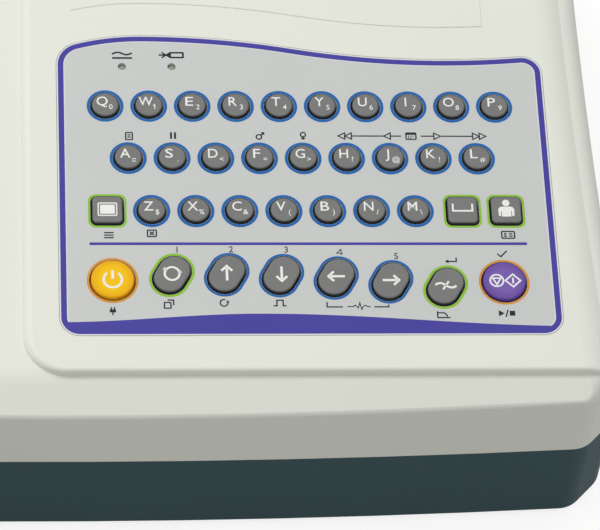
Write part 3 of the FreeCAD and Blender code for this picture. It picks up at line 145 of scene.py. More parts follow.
# Solder mask on glass epoxy: green lacquer over a woven sheet with threads about 0.5 mm apart.
solder_mask = surface(
    "green_solder_mask", mask_tones, 8 * mm, 0.5 * mm, 0.008 * mm, (0.3, 0.42), sockets={"IOR": 1.5})
dress(solder_mask, "power_module", "main_board")


# Mains inlet, earth pin and patient socket. The inlet is black moulded nylon with three tinned
# blades, the pin is nickel plated brass, and the D socket has a pressed shell of nickel plated steel.
nylon_tones = ("17181A", "202123")
nickel_tones = ("C9C6BD", "B4B1A8")
blade_width = 2.0
blade_height = 4.0
blade_reach = 13.0
blade_pitch = 7.0
blade_drop = 2.0
blade_skin = 0.12
blade_fit = 0.02
blade_corner = 0.3
inlet_depth = 16.0
shell_length = 25.0
shell_height = 8.4
shell_corner = 2.1
shell_wall = 0.7
shell_lean = 10.0
contact_pitch = 2.77
contact_radius = 0.62
contact_bore = 0.5
contact_levels = (-0.2, 0.05)
insert_levels = (-0.4, 0.02)


def slab(loop, low, high):
    """A flat solid: a closed loop of points carried straight from low to high and capped."""
    loop = np.asarray(loop, float)
    after = np.roll(loop, -1, axis=0)
    turn = np.sum(loop[:, 0] * after[:, 1] - loop[:, 1] * after[:, 0])
    loop = loop if turn > 0 else loop[::-1]
    count = len(loop)
    points = np.vstack([np.column_stack([loop, np.full(count, level)]) for level in (low, high)])
    ring = np.arange(count)
    ahead = np.roll(ring, -1)
    walls = np.column_stack([ring, ahead, ahead + count, ring + count])
    return points, [ring[::-1].tolist(), (ring + count).tolist()] + walls.tolist()


def hoop(outer, inner, low, high):
    """A flat band: the rectangle between two like loops and two levels, carried round once."""
    count = len(outer)
    corners = ((outer, low), (outer, high), (inner, high), (inner, low))
    points = np.vstack([np.column_stack([loop, np.full(count, level)]) for loop, level in corners])
    row, column = np.divmod(np.arange(4 * count), count)
    ahead = (column + 1) % count
    above = (row + 1) % 4
    faces = np.column_stack([
        row * count + column, row * count + ahead, above * count + ahead, above * count + column])
    return points, faces.tolist()


def rounded(half_u, half_v, corner, lean=0.0, count=64):
    """A rectangle with round corners: a circle of the corner's radius pulled apart by its quarters."""
    angle = (np.arange(count) + 0.5) * 2 * np.pi / count
    u = np.sign(np.cos(angle)) * (half_u - corner) + corner * np.cos(angle)
    v = np.sign(np.sin(angle)) * (half_v - corner) + corner * np.sin(angle)
    turn = math.radians(lean)
    return np.column_stack([
        u * math.cos(turn) + v * math.sin(turn), v * math.cos(turn) - u * math.sin(turn)])


def build_piece(name, shapes, origin, axes, material, body):
    """One mesh from flat shapes in millimetres, laid into the frame of the three axes at origin."""
    points = np.vstack([shape[0] for shape in shapes]) * mm
    starts = np.cumsum([0] + [len(shape[0]) for shape in shapes])
    faces = [
        [start + corner for corner in face]
        for (_, part), start in zip(shapes, starts.tolist()) for face in part
    ]
    mesh = bpy.data.meshes.new(name)
    mesh.from_pydata((np.asarray(origin) + points @ np.asarray(axes)).tolist(), [], faces)
    mesh.materials.append(material)
    piece = bpy.data.objects.new(name, mesh)
    bpy.context.collection.objects.link(piece)
    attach(piece, body)
    return piece


def node_points(node):
    """The vertices of a CAD node, in metres."""
    mesh = frame["nodes"][node].data
    points = np.empty(3 * len(mesh.vertices))
    mesh.vertices.foreach_get("co", points)
    return points.reshape(-1, 3)


# Glass filled nylon: black and dull, with faint flow patches.
inlet_nylon = surface(
    "glass_filled_nylon", nylon_tones, 12 * mm, 0.3 * mm, 0.01 * mm, (0.5, 0.65), sockets={"IOR": 1.53})
dress(inlet_nylon, "mains_inlet")

# Nickel plate: a warm grey mirror, slightly brushed.
nickel_plate = surface(
    "nickel_plate_brushed", nickel_tones, 4 * mm, 0.12 * mm, 0.003 * mm, (0.22, 0.36),
    stretch=(1, 1, 6), sockets={"Metallic": 1.0})
dress(nickel_plate, "ground_post", "patient_socket")

inlet_low, inlet_high = (np.asarray(corner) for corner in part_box("mains_inlet"))
inlet_middle = (inlet_low + inlet_high) / 2
inlet_mouth = np.array([inlet_middle[0], inlet_high[1], inlet_middle[2]])
back_axes = ((-1, 0, 0), (0, 0, 1), (0, 1, 0))
blade_sides = [
    rounded(blade_width / 2 + grow, blade_height / 2 + grow, blade_corner + grow)
    + (side * blade_pitch, rise * blade_drop)
    for grow in (blade_skin, blade_fit) for side, rise in ((-1, -1), (0, 1), (1, -1))
]
blade_end = blade_reach - inlet_depth
build_piece(
    "inlet_blade_plating",
    [hoop(outer, inner, -inlet_depth, blade_end) for outer, inner in zip(blade_sides[:3], blade_sides[3:])]
    + [slab(outer, blade_end, blade_end + blade_skin) for outer in blade_sides[:3]],
    inlet_mouth, back_axes, nickel_plate, "case")

socket_low, socket_high = (np.asarray(corner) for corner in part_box("patient_socket"))
socket_middle = (socket_low + socket_high) / 2
socket_mouth = np.array([socket_high[0], *socket_middle[1:]])
side_axes = ((0, 1, 0), (0, 0, 1), (1, 0, 0))
contact_rows = [
    ((index - (count - 1) / 2) * contact_pitch, row * contact_pitch / 2)
    for row, count in ((-1, 8), (1, 7)) for index in range(count)
]
contact_ring = rounded(contact_radius, contact_radius, contact_radius, count=20)
bore_ring = rounded(contact_bore, contact_bore, contact_bore, count=20)
slope = shell_height * math.tan(math.radians(shell_lean))
insert_edge = rounded(shell_length / 2 - shell_wall, shell_height / 2 - shell_wall, shell_corner - shell_wall)
insert_edge[:, 0] *= 1 - (insert_edge[:, 1] / shell_height + 0.5) * slope / (shell_length / 2)

# Gold flash on the contact bushes: thin, yellow and smooth.
gold_flash = surface(
    "gold_flash_contacts", ("D8A63E", "C79530"), 1 * mm, 0.1 * mm, 0.002 * mm, (0.2, 0.3),
    sockets={"Metallic": 1.0})
build_piece("patient_socket_insert", [slab(insert_edge, *insert_levels)],
            socket_mouth, side_axes, inlet_nylon, "case")
build_piece("patient_socket_contacts",
            [hoop(contact_ring + spot, bore_ring + spot, *contact_levels) for spot in contact_rows],
            socket_mouth, side_axes, gold_flash, "case")


# Print head, drive motor, pinion and paper roll. The head's heat sink is extruded aluminium, the
# motor a zinc plated can, the pinion turned brass, and the roll is thermal paper on its spindle.
alloy_tones = ("C4C7CA", "B2B6BA")
brass_tones = ("C9A24A", "B8903A")
paper_tones = ("F3F1EA", "E9E6DD")

# Extruded aluminium: pale, with drawn lines along its length about 0.2 mm apart.
extruded_alloy = surface(
    "extruded_aluminium", alloy_tones, 10 * mm, 0.2 * mm, 0.006 * mm, (0.3, 0.45),
    stretch=(0.05, 1, 1), sockets={"Metallic": 1.0})
dress(extruded_alloy, "print_head")
dress(zinc_steel, "drive_motor")

# Turned brass: yellow, with rings left by the tool.
turned_brass = surface(
    "turned_brass", brass_tones, 3 * mm, 0.1 * mm, 0.004 * mm, (0.22, 0.35), sockets={"Metallic": 1.0})
dress(turned_brass, "motor_pinion")

# Thermal paper: white, smooth and calendered, the wound edges showing as fine rings.
thermal_paper = surface(
    "thermal_paper_roll", paper_tones, 15 * mm, 0.3 * mm, 0.01 * mm, (0.6, 0.75), sockets={"IOR": 1.5})
dress(thermal_paper, "paper_roll")


# Display and its window. The window is tinted acrylic with a black border printed on its underside;
# the display panel behind it is slate grey glass when the machine is off.
border_width = 9.0
border_fit = 0.1
border_corners = (3.9, 2.0)
border_levels = (-0.05, -0.02)
panel_tones = ("39424A", "3F4952")

press = next(joint for joint in frame["joints"] if joint["name"] == "key_q_press")
deck_w = -np.array(press["axis"])
deck_u = np.array([1.0, 0.0, 0.0])
deck_v = np.cross(deck_w, deck_u)
deck_axes = np.array([deck_u, deck_v, deck_w])


def deck_span(node):
    """Lowest and highest corner of a node along the deck's own axes, in metres."""
    spots = node_points(node) @ deck_axes.T
    return spots.min(axis=0), spots.max(axis=0)


# Acrylic sheet: a faint smoke tint that lets most light through, under a fine coat against glare.
smoked_acrylic = surface(
    "smoked_acrylic", ("2A3136", "262D31"), 30 * mm, 20 * mm, 0.0005 * mm, (0.18, 0.24),
    sockets={"IOR": 1.49, "Alpha": 0.15, "Specular IOR Level": 0.5})
dress(smoked_acrylic, "screen_window")

# Display glass: slate grey with a blue cast from the polariser film.
display_glass = surface(
    "display_polariser_glass", panel_tones, 25 * mm, 15 * mm, 0.0005 * mm, (0.4, 0.5),
    sockets={"IOR": 1.52, "Specular IOR Level": 0.1})
dress(display_glass, "lcd_module")

window_low, window_high = deck_span("screen_window")
window_half = (window_high - window_low)[:2] / 2 / mm
window_back = np.array([*(window_low + window_high)[:2] / 2, window_low[2]]) @ deck_axes

# Black screen ink behind the window: dense and even.
border_ink = surface(
    "black_border_ink", ("101113", "16181A"), 20 * mm, 0.3 * mm, 0.002 * mm, (0.4, 0.5),
    sockets={"IOR": 1.5, "Specular IOR Level": 0.1})
build_piece(
    "screen_border",
    [hoop(rounded(*(window_half - border_fit), border_corners[0]),
          rounded(*(window_half - border_width), border_corners[1]), *border_levels)],
    window_back, deck_axes, border_ink, "case")


# Key mat and indicators. The mat is one sheet of grey silicone under all keys; the two indicators
# are smoked light pipes on the key board whose tips end a little below the holes of the overlay.
silicone_tones = ("B4B7B5", "C0C3C1")
lens_tones = ("8A8D82", "97998D")
lens_radius = 1.0
lens_rise = 0.12
indicator_places = ((5.3, 14.0), (20.2, 14.0))

# Silicone rubber: matt grey with a dusty bloom.
mat_silicone = surface(
    "silicone_mat", silicone_tones, 10 * mm, 0.3 * mm, 0.01 * mm, (0.65, 0.8), sockets={"IOR": 1.43})
dress(mat_silicone, "keypad_mat")

film_top = deck_span("key_overlay")[1][2]
first_low, first_high = deck_span("key_q")
deck_origin = np.array([*(first_low + first_high)[:2] / 2, film_top]) @ deck_axes


def dome(centre, radius, rise, count=32, steps=6):
    """A shallow cap: a quarter ellipse, radius by rise, turned about the deck normal and closed below."""
    climb = np.linspace(0, np.pi / 2, steps, endpoint=False)
    angle = np.arange(count) * 2 * np.pi / count
    u = centre[0] + radius * np.outer(np.cos(climb), np.cos(angle))
    v = centre[1] + radius * np.outer(np.cos(climb), np.sin(angle))
    w = np.repeat(rise * np.sin(climb), count)
    points = np.vstack([np.column_stack([u.ravel(), v.ravel(), w]), [[*centre, rise]]])
    row, column = np.divmod(np.arange((steps - 1) * count), count)
    ahead = (column + 1) % count
    bands = np.column_stack([
        row * count + column, row * count + ahead, (row + 1) * count + ahead, (row + 1) * count + column])
    top = (steps - 1) * count + np.arange(count)
    cap = np.column_stack([top, np.roll(top, -1), np.full(count, steps * count)])
    return points, bands.tolist() + cap.tolist() + [np.arange(count)[::-1].tolist()]


# Smoked polycarbonate: grey-green and glossy while the lamp behind it is off.
smoked_lens = surface(
    "smoked_polycarbonate", lens_tones, 1 * mm, 0.2 * mm, 0.002 * mm, (0.2, 0.3), sockets={"IOR": 1.58})
pipe_tops = deck_origin + (deck_span("main_board")[1][2] - film_top) * deck_w
build_piece("indicator_lenses", [dome(spot, lens_radius, lens_rise) for spot in indicator_places],
            pipe_tops, deck_axes, smoked_lens, "case")


# Keys. Each is a moulded ABS cap with a printed white legend, pushed through its hole in the cover
# from below and held by its flange. The power key is amber and the start key purple.
key_tones = ("767675", "7F7F7E")
amber_tones = ("F6C200", "FBCC06")
violet_tones = ("775BAA", "8064B3")
# Painted shade: cap faces turned from the deck's normal between these two facings take the dark side tone.
painted_shade_facing = (0.2, 0.93)
rim_shade_reach = (3.6 * mm, 6.6 * mm)
ink_low = -0.01
ink_top = 0.03
font_swell = 0.004
font_capital = 0.682
letter_height = 3.05
letter_place = (-0.9, 1.1)
letter_stretch = {"b": 1.2, "e": 1.3, "f": 1.25, "l": 1.2, "p": 1.2, "s": 1.3, "w": 0.9}
arrow_lines = (0.74, 0.7)
mark_height = 1.65
mark_place = (1.65, -0.85)
mark_of_letter = dict(zip("qwertyuiop" "asdfghjkl" "zxcvbnm", "0123456789" "-.<=>?@!#" "$%&()/\\"))
square_keys = ("menu", "space", "patient")
oval_keys = ("mode", "up", "down", "left", "right", "filter")
round_keys = ("power", "start")


def arc(centre, radius, start, stop, count=24):
    """Points on a circle from one angle to another, in degrees."""
    angle = np.radians(np.linspace(start, stop, count))
    return np.column_stack([centre[0] + radius * np.cos(angle), centre[1] + radius * np.sin(angle)])


def stroke(path, width, closed=False, low=ink_low, high=ink_top):
    """A line of even width: the path moved to both sides along its mitred normals."""
    path = np.asarray(path, float)
    before = np.roll(path, 1, axis=0)
    after = np.roll(path, -1, axis=0)
    if not closed:
        before[0] = 2 * path[0] - path[1]
        after[-1] = 2 * path[-1] - path[-2]
    steps = np.stack([path - before, after - path])
    steps /= np.linalg.norm(steps, axis=2, keepdims=True)
    arrive, leave = np.stack([-steps[..., 1], steps[..., 0]], axis=-1)
    mitre = (arrive + leave) / (1 + np.sum(arrive * leave, axis=1, keepdims=True))
    left = path + mitre * width / 2
    right = path - mitre * width / 2
    if closed:
        return hoop(right, left, low, high)
    return slab(np.vstack([right, left[::-1]]), low, high)


def disc(centre, radius, count=32):
    """A filled round dot."""
    return slab(rounded(radius, radius, radius, count=count) + centre, ink_low, ink_top)


def fill(loop):
    """A filled shape of ink."""
    return slab(loop, ink_low, ink_top)


def lettering(text, height, centre, wide=1.0):
    """Filled letters of a plain sans face, as high as a capital of height, centred on a point."""
    curve = bpy.data.curves.new(text, "FONT")
    curve.body = text
    curve.resolution_u = 3
    curve.offset = font_swell
    curve.extrude = 0.5
    holder = bpy.data.objects.new(text, curve)
    mesh = bpy.data.meshes.new_from_object(holder)
    points = np.empty(3 * len(mesh.vertices))
    mesh.vertices.foreach_get("co", points)
    points = points.reshape(-1, 3)
    faces = [list(face.vertices) for face in mesh.polygons]
    bpy.data.objects.remove(holder)
    bpy.data.meshes.remove(mesh)
    middle = (points[:, 0].min() + points[:, 0].max()) / 2
    u = centre[0] + (points[:, 0] - middle) * wide * height / font_capital
    v = centre[1] + (points[:, 1] - font_capital / 2) * height / font_capital
    w = np.where(points[:, 2] > 0, ink_top, ink_low)
    return np.column_stack([u, v, w]), faces


def arrow(turn):
    """A straight arrow through the origin, pointing up and turned anticlockwise by an angle."""
    turned = np.array([[math.cos(turn), math.sin(turn)], [-math.sin(turn), math.cos(turn)]])
    shaft = np.array([(0, -2.5), (0, 1.9)]) @ turned
    head = np.array([(-1.6, 0.75), (0, 2.35), (1.6, 0.75)]) @ turned
    return [stroke(shaft, arrow_lines[0]), stroke(head, arrow_lines[1])]


def placed(shapes, place):
    """Shapes moved to a place on their plane."""
    return [(points + (*place, 0), faces) for points, faces in shapes]


drawn_marks = {
    "1": [stroke([(-0.4, 0.4), (0.1, 0.8), (0.1, -0.83)], 0.28)],
    "-": [stroke([(-0.55, level), (0.55, level)], 0.26) for level in (0.0, -0.8)],
}
wave_u = np.linspace(-3.1, 3.1, 40)
wave = np.column_stack([wave_u, 0.75 * np.sin(-wave_u * 2 * np.pi / 6.6)])
key_marks = {
    "menu": [stroke(rounded(2.7, 2.1, 0.3), 0.38, True), fill(rounded(2.15, 1.55, 0.15))],
    "space": [stroke([(-2.9, 2.0), (-2.9, -0.45), (2.9, -0.45), (2.9, 2.0)], 0.55)],
    "patient": [disc((0, 2.25), 1.1), fill(np.vstack([
        arc((1.2, -0.2), 1.2, 0, 90, 10), arc((-1.2, -0.2), 1.2, 90, 180, 10),
        [(-2.3, -2.2), (-1.65, -2.2), (-1.6, -0.5), (-1.4, -0.5), (-1.4, -2.4),
         (1.4, -2.4), (1.4, -0.5), (1.6, -0.5), (1.65, -2.2), (2.3, -2.2)]]))],
    "power": [stroke(arc((0, -0.2), 2.65, 128, 412, 40), 0.7), stroke([(0, 0), (0, 2.8)], 0.8)],
    "mode": [
        stroke(arc((0, 0), 2.15, 0, 360, 49)[:-1], 0.65, True),
        fill([(-2.8, 1.15), (-1.5, 1.4), (-2.1, 2.2)]),
        fill([(2.9, 0.3), (1.9, 0.2), (2.3, 1.3)]),
    ],
    "up": arrow(0.0),
    "down": arrow(np.pi),
    "left": arrow(np.pi / 2),
    "right": arrow(-np.pi / 2),
    "filter": [stroke(wave, 0.65), stroke([(-0.9, -1.35), (0.9, 1.35)], 0.6)],
    "start": [
        stroke(arc((-2.3, 0), 1.95, 0, 360, 41)[:-1], 0.5, True),
        stroke([(-3.5, 0.8), (-2.3, -1.35), (-1.1, 0.8)], 0.45, True),
        stroke([(0.25, 0), (2.5, -2.1), (4.7, 0), (2.5, 2.1)], 0.5, True),
        stroke([(2.5, -0.95), (2.5, 0.95)], 0.5),
    ],
}


def cap_with_painted_side_shade(name, tones, side_shade_tone):
    """A satin cap finish: faces that turn from the deck's normal take a dark tone, painted shade for the
    shaded key walls.
    """
    material = surface(
        name, tones, 4 * mm, 0.3 * mm, 0.006 * mm, (0.4, 0.52),
        sockets={"IOR": 1.53, "Specular IOR Level": 0.15})
    shader = material.node_tree.nodes["Principled BSDF"]
    cap_tone = shader.inputs["Base Color"].links[0].from_socket
    normal = add_node(material, "ShaderNodeTexCoord").outputs["Normal"]
    facing = add_node(
        material, "ShaderNodeVectorMath", {0: normal, 1: tuple(deck_w)}, operation="DOT_PRODUCT")
    share = add_node(material, "ShaderNodeMapRange", {
        "Value": facing.outputs["Value"], "From Min": painted_shade_facing[0], "From Max": painted_shade_facing[1]})
    colour = add_node(material, "ShaderNodeMixRGB", {
        "Fac": share.outputs["Result"], "Color1": linear(side_shade_tone), "Color2": cap_tone})
    material.node_tree.links.new(colour.outputs["Color"], shader.inputs["Base Color"])
    return material


def paint_rim_shade(material, node, tone):
    """Painted shade on a cap: its tone deepens with the distance from the cap's middle, for the look of a
    domed top.
    """
    low, high = deck_span(node)
    middle = np.array([*(low + high)[:2] / 2, high[2]]) @ deck_axes
    shader = material.node_tree.nodes["Principled BSDF"]
    cap_tone = shader.inputs["Base Color"].links[0].from_socket
    place = add_node(material, "ShaderNodeTexCoord").outputs["Object"]
    away = add_node(material, "ShaderNodeVectorMath", {0: place, 1: tuple(middle)}, operation="DISTANCE")
    share = add_node(material, "ShaderNodeMapRange", {
        "Value": away.outputs["Value"], "From Min": rim_shade_reach[0], "From Max": rim_shade_reach[1]})
    colour = add_node(material, "ShaderNodeMixRGB", {
        "Fac": share.outputs["Result"], "Color1": cap_tone, "Color2": linear(tone)})
    material.node_tree.links.new(colour.outputs["Color"], shader.inputs["Base Color"])


# Moulded ABS caps with satin tops; the sides take a dark tone, painted shade for the key walls in shadow.
# The amber and the violet caps also deepen in tone towards the rim, painted shade for the look of a domed
# cap.
cap_abs = cap_with_painted_side_shade("grey_abs_cap_painted_shade", key_tones, "3A3F42")
amber_abs = cap_with_painted_side_shade("amber_abs_cap_painted_shade", amber_tones, "E8940C")
violet_abs = cap_with_painted_side_shade("violet_abs_cap_painted_shade", violet_tones, "5A3E92")
# Painted shade: the amber and violet caps darken towards their rims.
paint_rim_shade(amber_abs, "key_power", "EDA806")
paint_rim_shade(violet_abs, "key_start", "66499A")

# Pad printing ink: opaque white, slightly uneven where it was laid.
white_ink = surface(
    "white_pad_ink", ("F4F4F2", "E8E8E5"), 2 * mm, 0.15 * mm, 0.003 * mm, (0.4, 0.55), sockets={"IOR": 1.5})

key_spans = {}
for key in list(mark_of_letter) + list(square_keys + oval_keys + round_keys):
    node = "key_" + key
    low, high = deck_span(node)
    key_spans[key] = (low, high)
    dress({"power": amber_abs, "start": violet_abs}.get(key, cap_abs), node)
    if key in mark_of_letter:
        mark = mark_of_letter[key]
        legend = [lettering(key.upper(), letter_height, letter_place, letter_stretch.get(key, 1.0))]
        legend += placed(drawn_marks.get(mark) or [lettering(mark, mark_height, (0, 0))], mark_place)
    else:
        legend = key_marks[key]
    cap_top = np.array([*(low + high)[:2] / 2, high[2]]) @ deck_axes
    build_piece("legend_" + key, legend, cap_top, deck_axes, white_ink, node)


# Top cover, paper door and release. The cover and the door are moulded ABS in a warm cream with a
# fine leather-like grain; the door turns on moulded pins, and the release is a grey push button.
cream_tones = ("E4E6DB", "E9EBE1")
release_tones = ("7C8080", "868A8A")

# Cream ABS: soft satin, with slow patches of tone from the moulding.
cream_abs = surface(
    "cream_abs_fine_grain", cream_tones, 70 * mm, 0.5 * mm, 0.006 * mm, (0.42, 0.55),
    sockets={"IOR": 1.53, "Specular IOR Level": 0.3})
dress(cream_abs, "top_cover", "paper_door")
release_abs = surface(
    "grey_abs_release", release_tones, 8 * mm, 0.4 * mm, 0.008 * mm, (0.42, 0.55),
    sockets={"IOR": 1.53, "Specular IOR Level": 0.35})
dress(release_abs, "door_release")


# Platen and its gear. The platen is ground rubber on a steel shaft in the door's cheeks; its gear is
# moulded acetal and meets the motor's pinion when the door is shut.
platen_tones = ("232426", "2D2E30")
acetal_tones = ("E6E4DA", "DEDBD0")

# Ground rubber: black, with fine rings left by the grinding wheel.
ground_rubber = surface(
    "ground_platen_rubber", platen_tones, 10 * mm, 0.15 * mm, 0.01 * mm, (0.6, 0.75),
    stretch=(4, 1, 1), sockets={"IOR": 1.52})
dress(ground_rubber, "platen_roller")

# Acetal: waxy, off-white and smooth.
acetal = surface(
    "acetal_gear", acetal_tones, 6 * mm, 0.3 * mm, 0.004 * mm, (0.35, 0.45), sockets={"IOR": 1.48})
dress(acetal, "platen_gear")


# Overlay. A film of polycarbonate, printed from behind in grey and from the front with rings, a
# purple border and dark signs, and stuck into a shallow recess of the cover.
film_tones = ("C6C9C6", "CBCECB")
border_tones = ("47429A", "4E49A3")
film_low, film_high = ((corner - deck_axes @ deck_origin) / mm for corner in deck_span("key_overlay"))
film_corner = 6.0
film_shoulder = 8.0
crest_place = (11.0, film_high[1])
crest_radius = 70.0
trough_place = (101.7, 16.9)
edge_line = 0.45
border_line = 2.15
inner_line = 0.32
corner_steps = 16
front_steps = 60
divider = ((-5.4, -47.4), (123.5, -47.4))
divider_line = 0.9
sweep_peak = (43.5, -70.8)
sweep_drop = (2.7, 4.3)
sweep_reach = (58.0, 95.0)
ring_gap = 0.6
ring_kinds = {
    "letter": ("blue", (5.5, 5.5, 5.5), 0.0),
    "square": ("green", (5.65, 5.65, 2.3), 0.0),
    "round": ("orange", (7.5, 7.5, 7.5), 0.0),
    "oval": ("blue", (5.95, 7.5, 5.95), 30.0),
}
cap_kinds = {
    "letter": (4.0, 4.0, 4.0),
    "square": (4.45, 4.45, 1.4),
    "round": (6.3, 6.3, 6.3),
    "oval": (4.6, 6.2, 4.6),
}
ring_tones = {
    "blue": ("2264AC", "2A6BB2"), "green": ("8AC232", "94CA3C"), "orange": ("D8922A", "DE9A34")}
green_ovals = ("mode", "filter")


def film_outline():
    """The film's edge: three round corners, a shoulder, and a wave of two equal arcs along the back.

    The wave falls from the crest to the trough; the radius of its arcs follows from that fall.
    """
    run = trough_place[0] - crest_place[0]
    fall = crest_place[1] - trough_place[1]
    radius = (run ** 2 + fall ** 2) / (4 * fall)
    crest = np.array([crest_place[0], crest_place[1] - radius])
    trough = np.array([trough_place[0], trough_place[1] + radius])
    left = np.array([crest_place[0], crest_place[1] - crest_radius])
    right_u = film_high[0] - film_corner
    right = np.array([right_u, trough[1] - math.sqrt(
        (radius + film_corner) ** 2 - (right_u - trough[0]) ** 2)])
    shoulder_u = film_low[0] + film_shoulder
    shoulder = np.array([shoulder_u, left[1] + math.sqrt(
        (crest_radius - film_shoulder) ** 2 - (shoulder_u - left[0]) ** 2)])
    half_turn = math.degrees(math.asin(run / 2 / radius))
    right_turn = math.degrees(math.atan2(*(trough - right)[::-1]))
    left_turn = math.degrees(math.atan2(*(shoulder - left)[::-1]))
    foot = film_low[1] + film_corner
    return np.vstack([
        arc((film_low[0] + film_corner, foot), film_corner, 180, 270, corner_steps),
        arc((film_high[0] - film_corner, foot), film_corner, 270, 360, corner_steps),
        arc(right, film_corner, 0, right_turn, corner_steps),
        arc(trough, radius, right_turn - 180, -90 - half_turn, 40)[1:],
        arc(crest, radius, 90 - half_turn, 90, 24)[1:],
        arc(left, crest_radius, 90, left_turn, corner_steps)[1:],
        arc(shoulder, film_shoulder, left_turn, 180, corner_steps)[1:],
    ])


def inset(loop, amount):
    """A loop drawn in by an amount along its normals."""
    along = np.roll(loop, -1, axis=0) - np.roll(loop, 1, axis=0)
    along /= np.linalg.norm(along, axis=1, keepdims=True)
    return loop + amount * np.column_stack([-along[:, 1], along[:, 0]])


def lifted(loop):
    """The loop with its front raised to the sweep: on each side of the peak half a cosine falls."""
    past = loop[:, 0] - sweep_peak[0]
    far = np.clip(past / np.where(past < 0, *sweep_reach), -1, 1)
    sweep = sweep_peak[1] - np.where(past < 0, *sweep_drop) * (1 - np.cos(np.pi * far)) / 2
    return np.column_stack([loop[:, 0], np.maximum(loop[:, 1], sweep)])


def with_front(loop):
    """The loop with more points along its straight front, so that the front can bend."""
    corner, rest = loop[:corner_steps], loop[corner_steps:]
    return np.vstack([corner, np.linspace(corner[-1], rest[0], front_steps)[1:-1], rest])


# Polycarbonate film: a fine velvet matt face over grey ink.
velvet_film = surface(
    "velvet_polycarbonate_film", film_tones, 40 * mm, 0.25 * mm, 0.003 * mm, (0.42, 0.52),
    sockets={"IOR": 1.58, "Specular IOR Level": 0.3})
dress(velvet_film, "key_overlay")

# Screen inks: opaque and even, with the faint tooth of the mesh they were pressed through.
violet_ink = surface(
    "violet_screen_ink", border_tones, 30 * mm, 0.2 * mm, 0.002 * mm, (0.4, 0.5),
    sockets={"IOR": 1.5, "Specular IOR Level": 0.12})
# Pale tone: printed ink for the inner line of the border, and painted highlight for the band along the film's
# edge.
pale_ink_and_edge_highlight = surface(
    "pale_screen_ink_and_edge_highlight", ("E2E3E0", "DADBD8"), 20 * mm, 0.2 * mm, 0.002 * mm, (0.4, 0.5), sockets={"IOR": 1.5})
dark_ink = surface(
    "dark_screen_ink", ("24282A", "2D3133"), 10 * mm, 0.2 * mm, 0.002 * mm, (0.4, 0.5),
    sockets={"IOR": 1.5, "Specular IOR Level": 0.12})


def print_film(name, shapes, material):
    """Printing on the film, in millimetres from the first letter key."""
    return build_piece(name, shapes, deck_origin, deck_axes, material, "case")


film_edge = with_front(film_outline())
border_outer = inset(film_edge, edge_line)
border_inner = lifted(inset(film_edge, border_line))
# Painted highlight: a pale band along the film's edge, where light catches the rim of its recess.
print_film("film_edge_highlight", [hoop(inset(film_edge, 0.02), border_outer, ink_low, ink_top)], pale_ink_and_edge_highlight)
print_film("film_border", [
    hoop(border_outer, border_inner, ink_low, ink_top),
    stroke(divider, divider_line),
], violet_ink)
inner_edge = lifted(inset(film_edge, border_line + inner_line))
print_film("film_inner_line", [hoop(border_inner, inner_edge, ink_low, ink_top)], pale_ink_and_edge_highlight)

rings = {"blue": [], "green": [], "orange": []}
for key, (low, high) in key_spans.items():
    groups = (("square", square_keys), ("oval", oval_keys), ("round", round_keys))
    kind = next((label for label, members in groups if key in members), "letter")
    colour, ring, lean = ring_kinds[kind]
    colour = "green" if key in green_ovals else colour
    place = (((low + high) / 2 - deck_axes @ deck_origin) / mm)[:2]
    hole = np.array(cap_kinds[kind]) + ring_gap
    rings[colour].append(hoop(
        rounded(*ring, lean) + place, rounded(*hole, lean) + place, ink_low, ink_top))
for colour, shapes in rings.items():
    ring_ink = surface(
        colour + "_ring_ink", ring_tones[colour], 8 * mm, 0.2 * mm, 0.002 * mm, (0.4, 0.5),
        sockets={"IOR": 1.5, "Specular IOR Level": 0.12})
    print_film("key_rings_" + colour, shapes, ring_ink)


# Signs on the overlay. Small dark pictures and numbers, screen printed beside the keys on the same
# film and in one pass of ink.
sign_line = 0.4
number_height = 2.0
arrow_level = -10.3
arrow_line = 0.36
arrow_step = 2.0
arrow_half = 1.1
arrow_inner = 13.7


def outline(half_u, half_v, corner=0.25):
    """A small drawn rectangle."""
    return stroke(rounded(half_u, half_v, corner, count=24), sign_line, True)


def rule(*points):
    """A drawn line through points."""
    return stroke(points, sign_line)


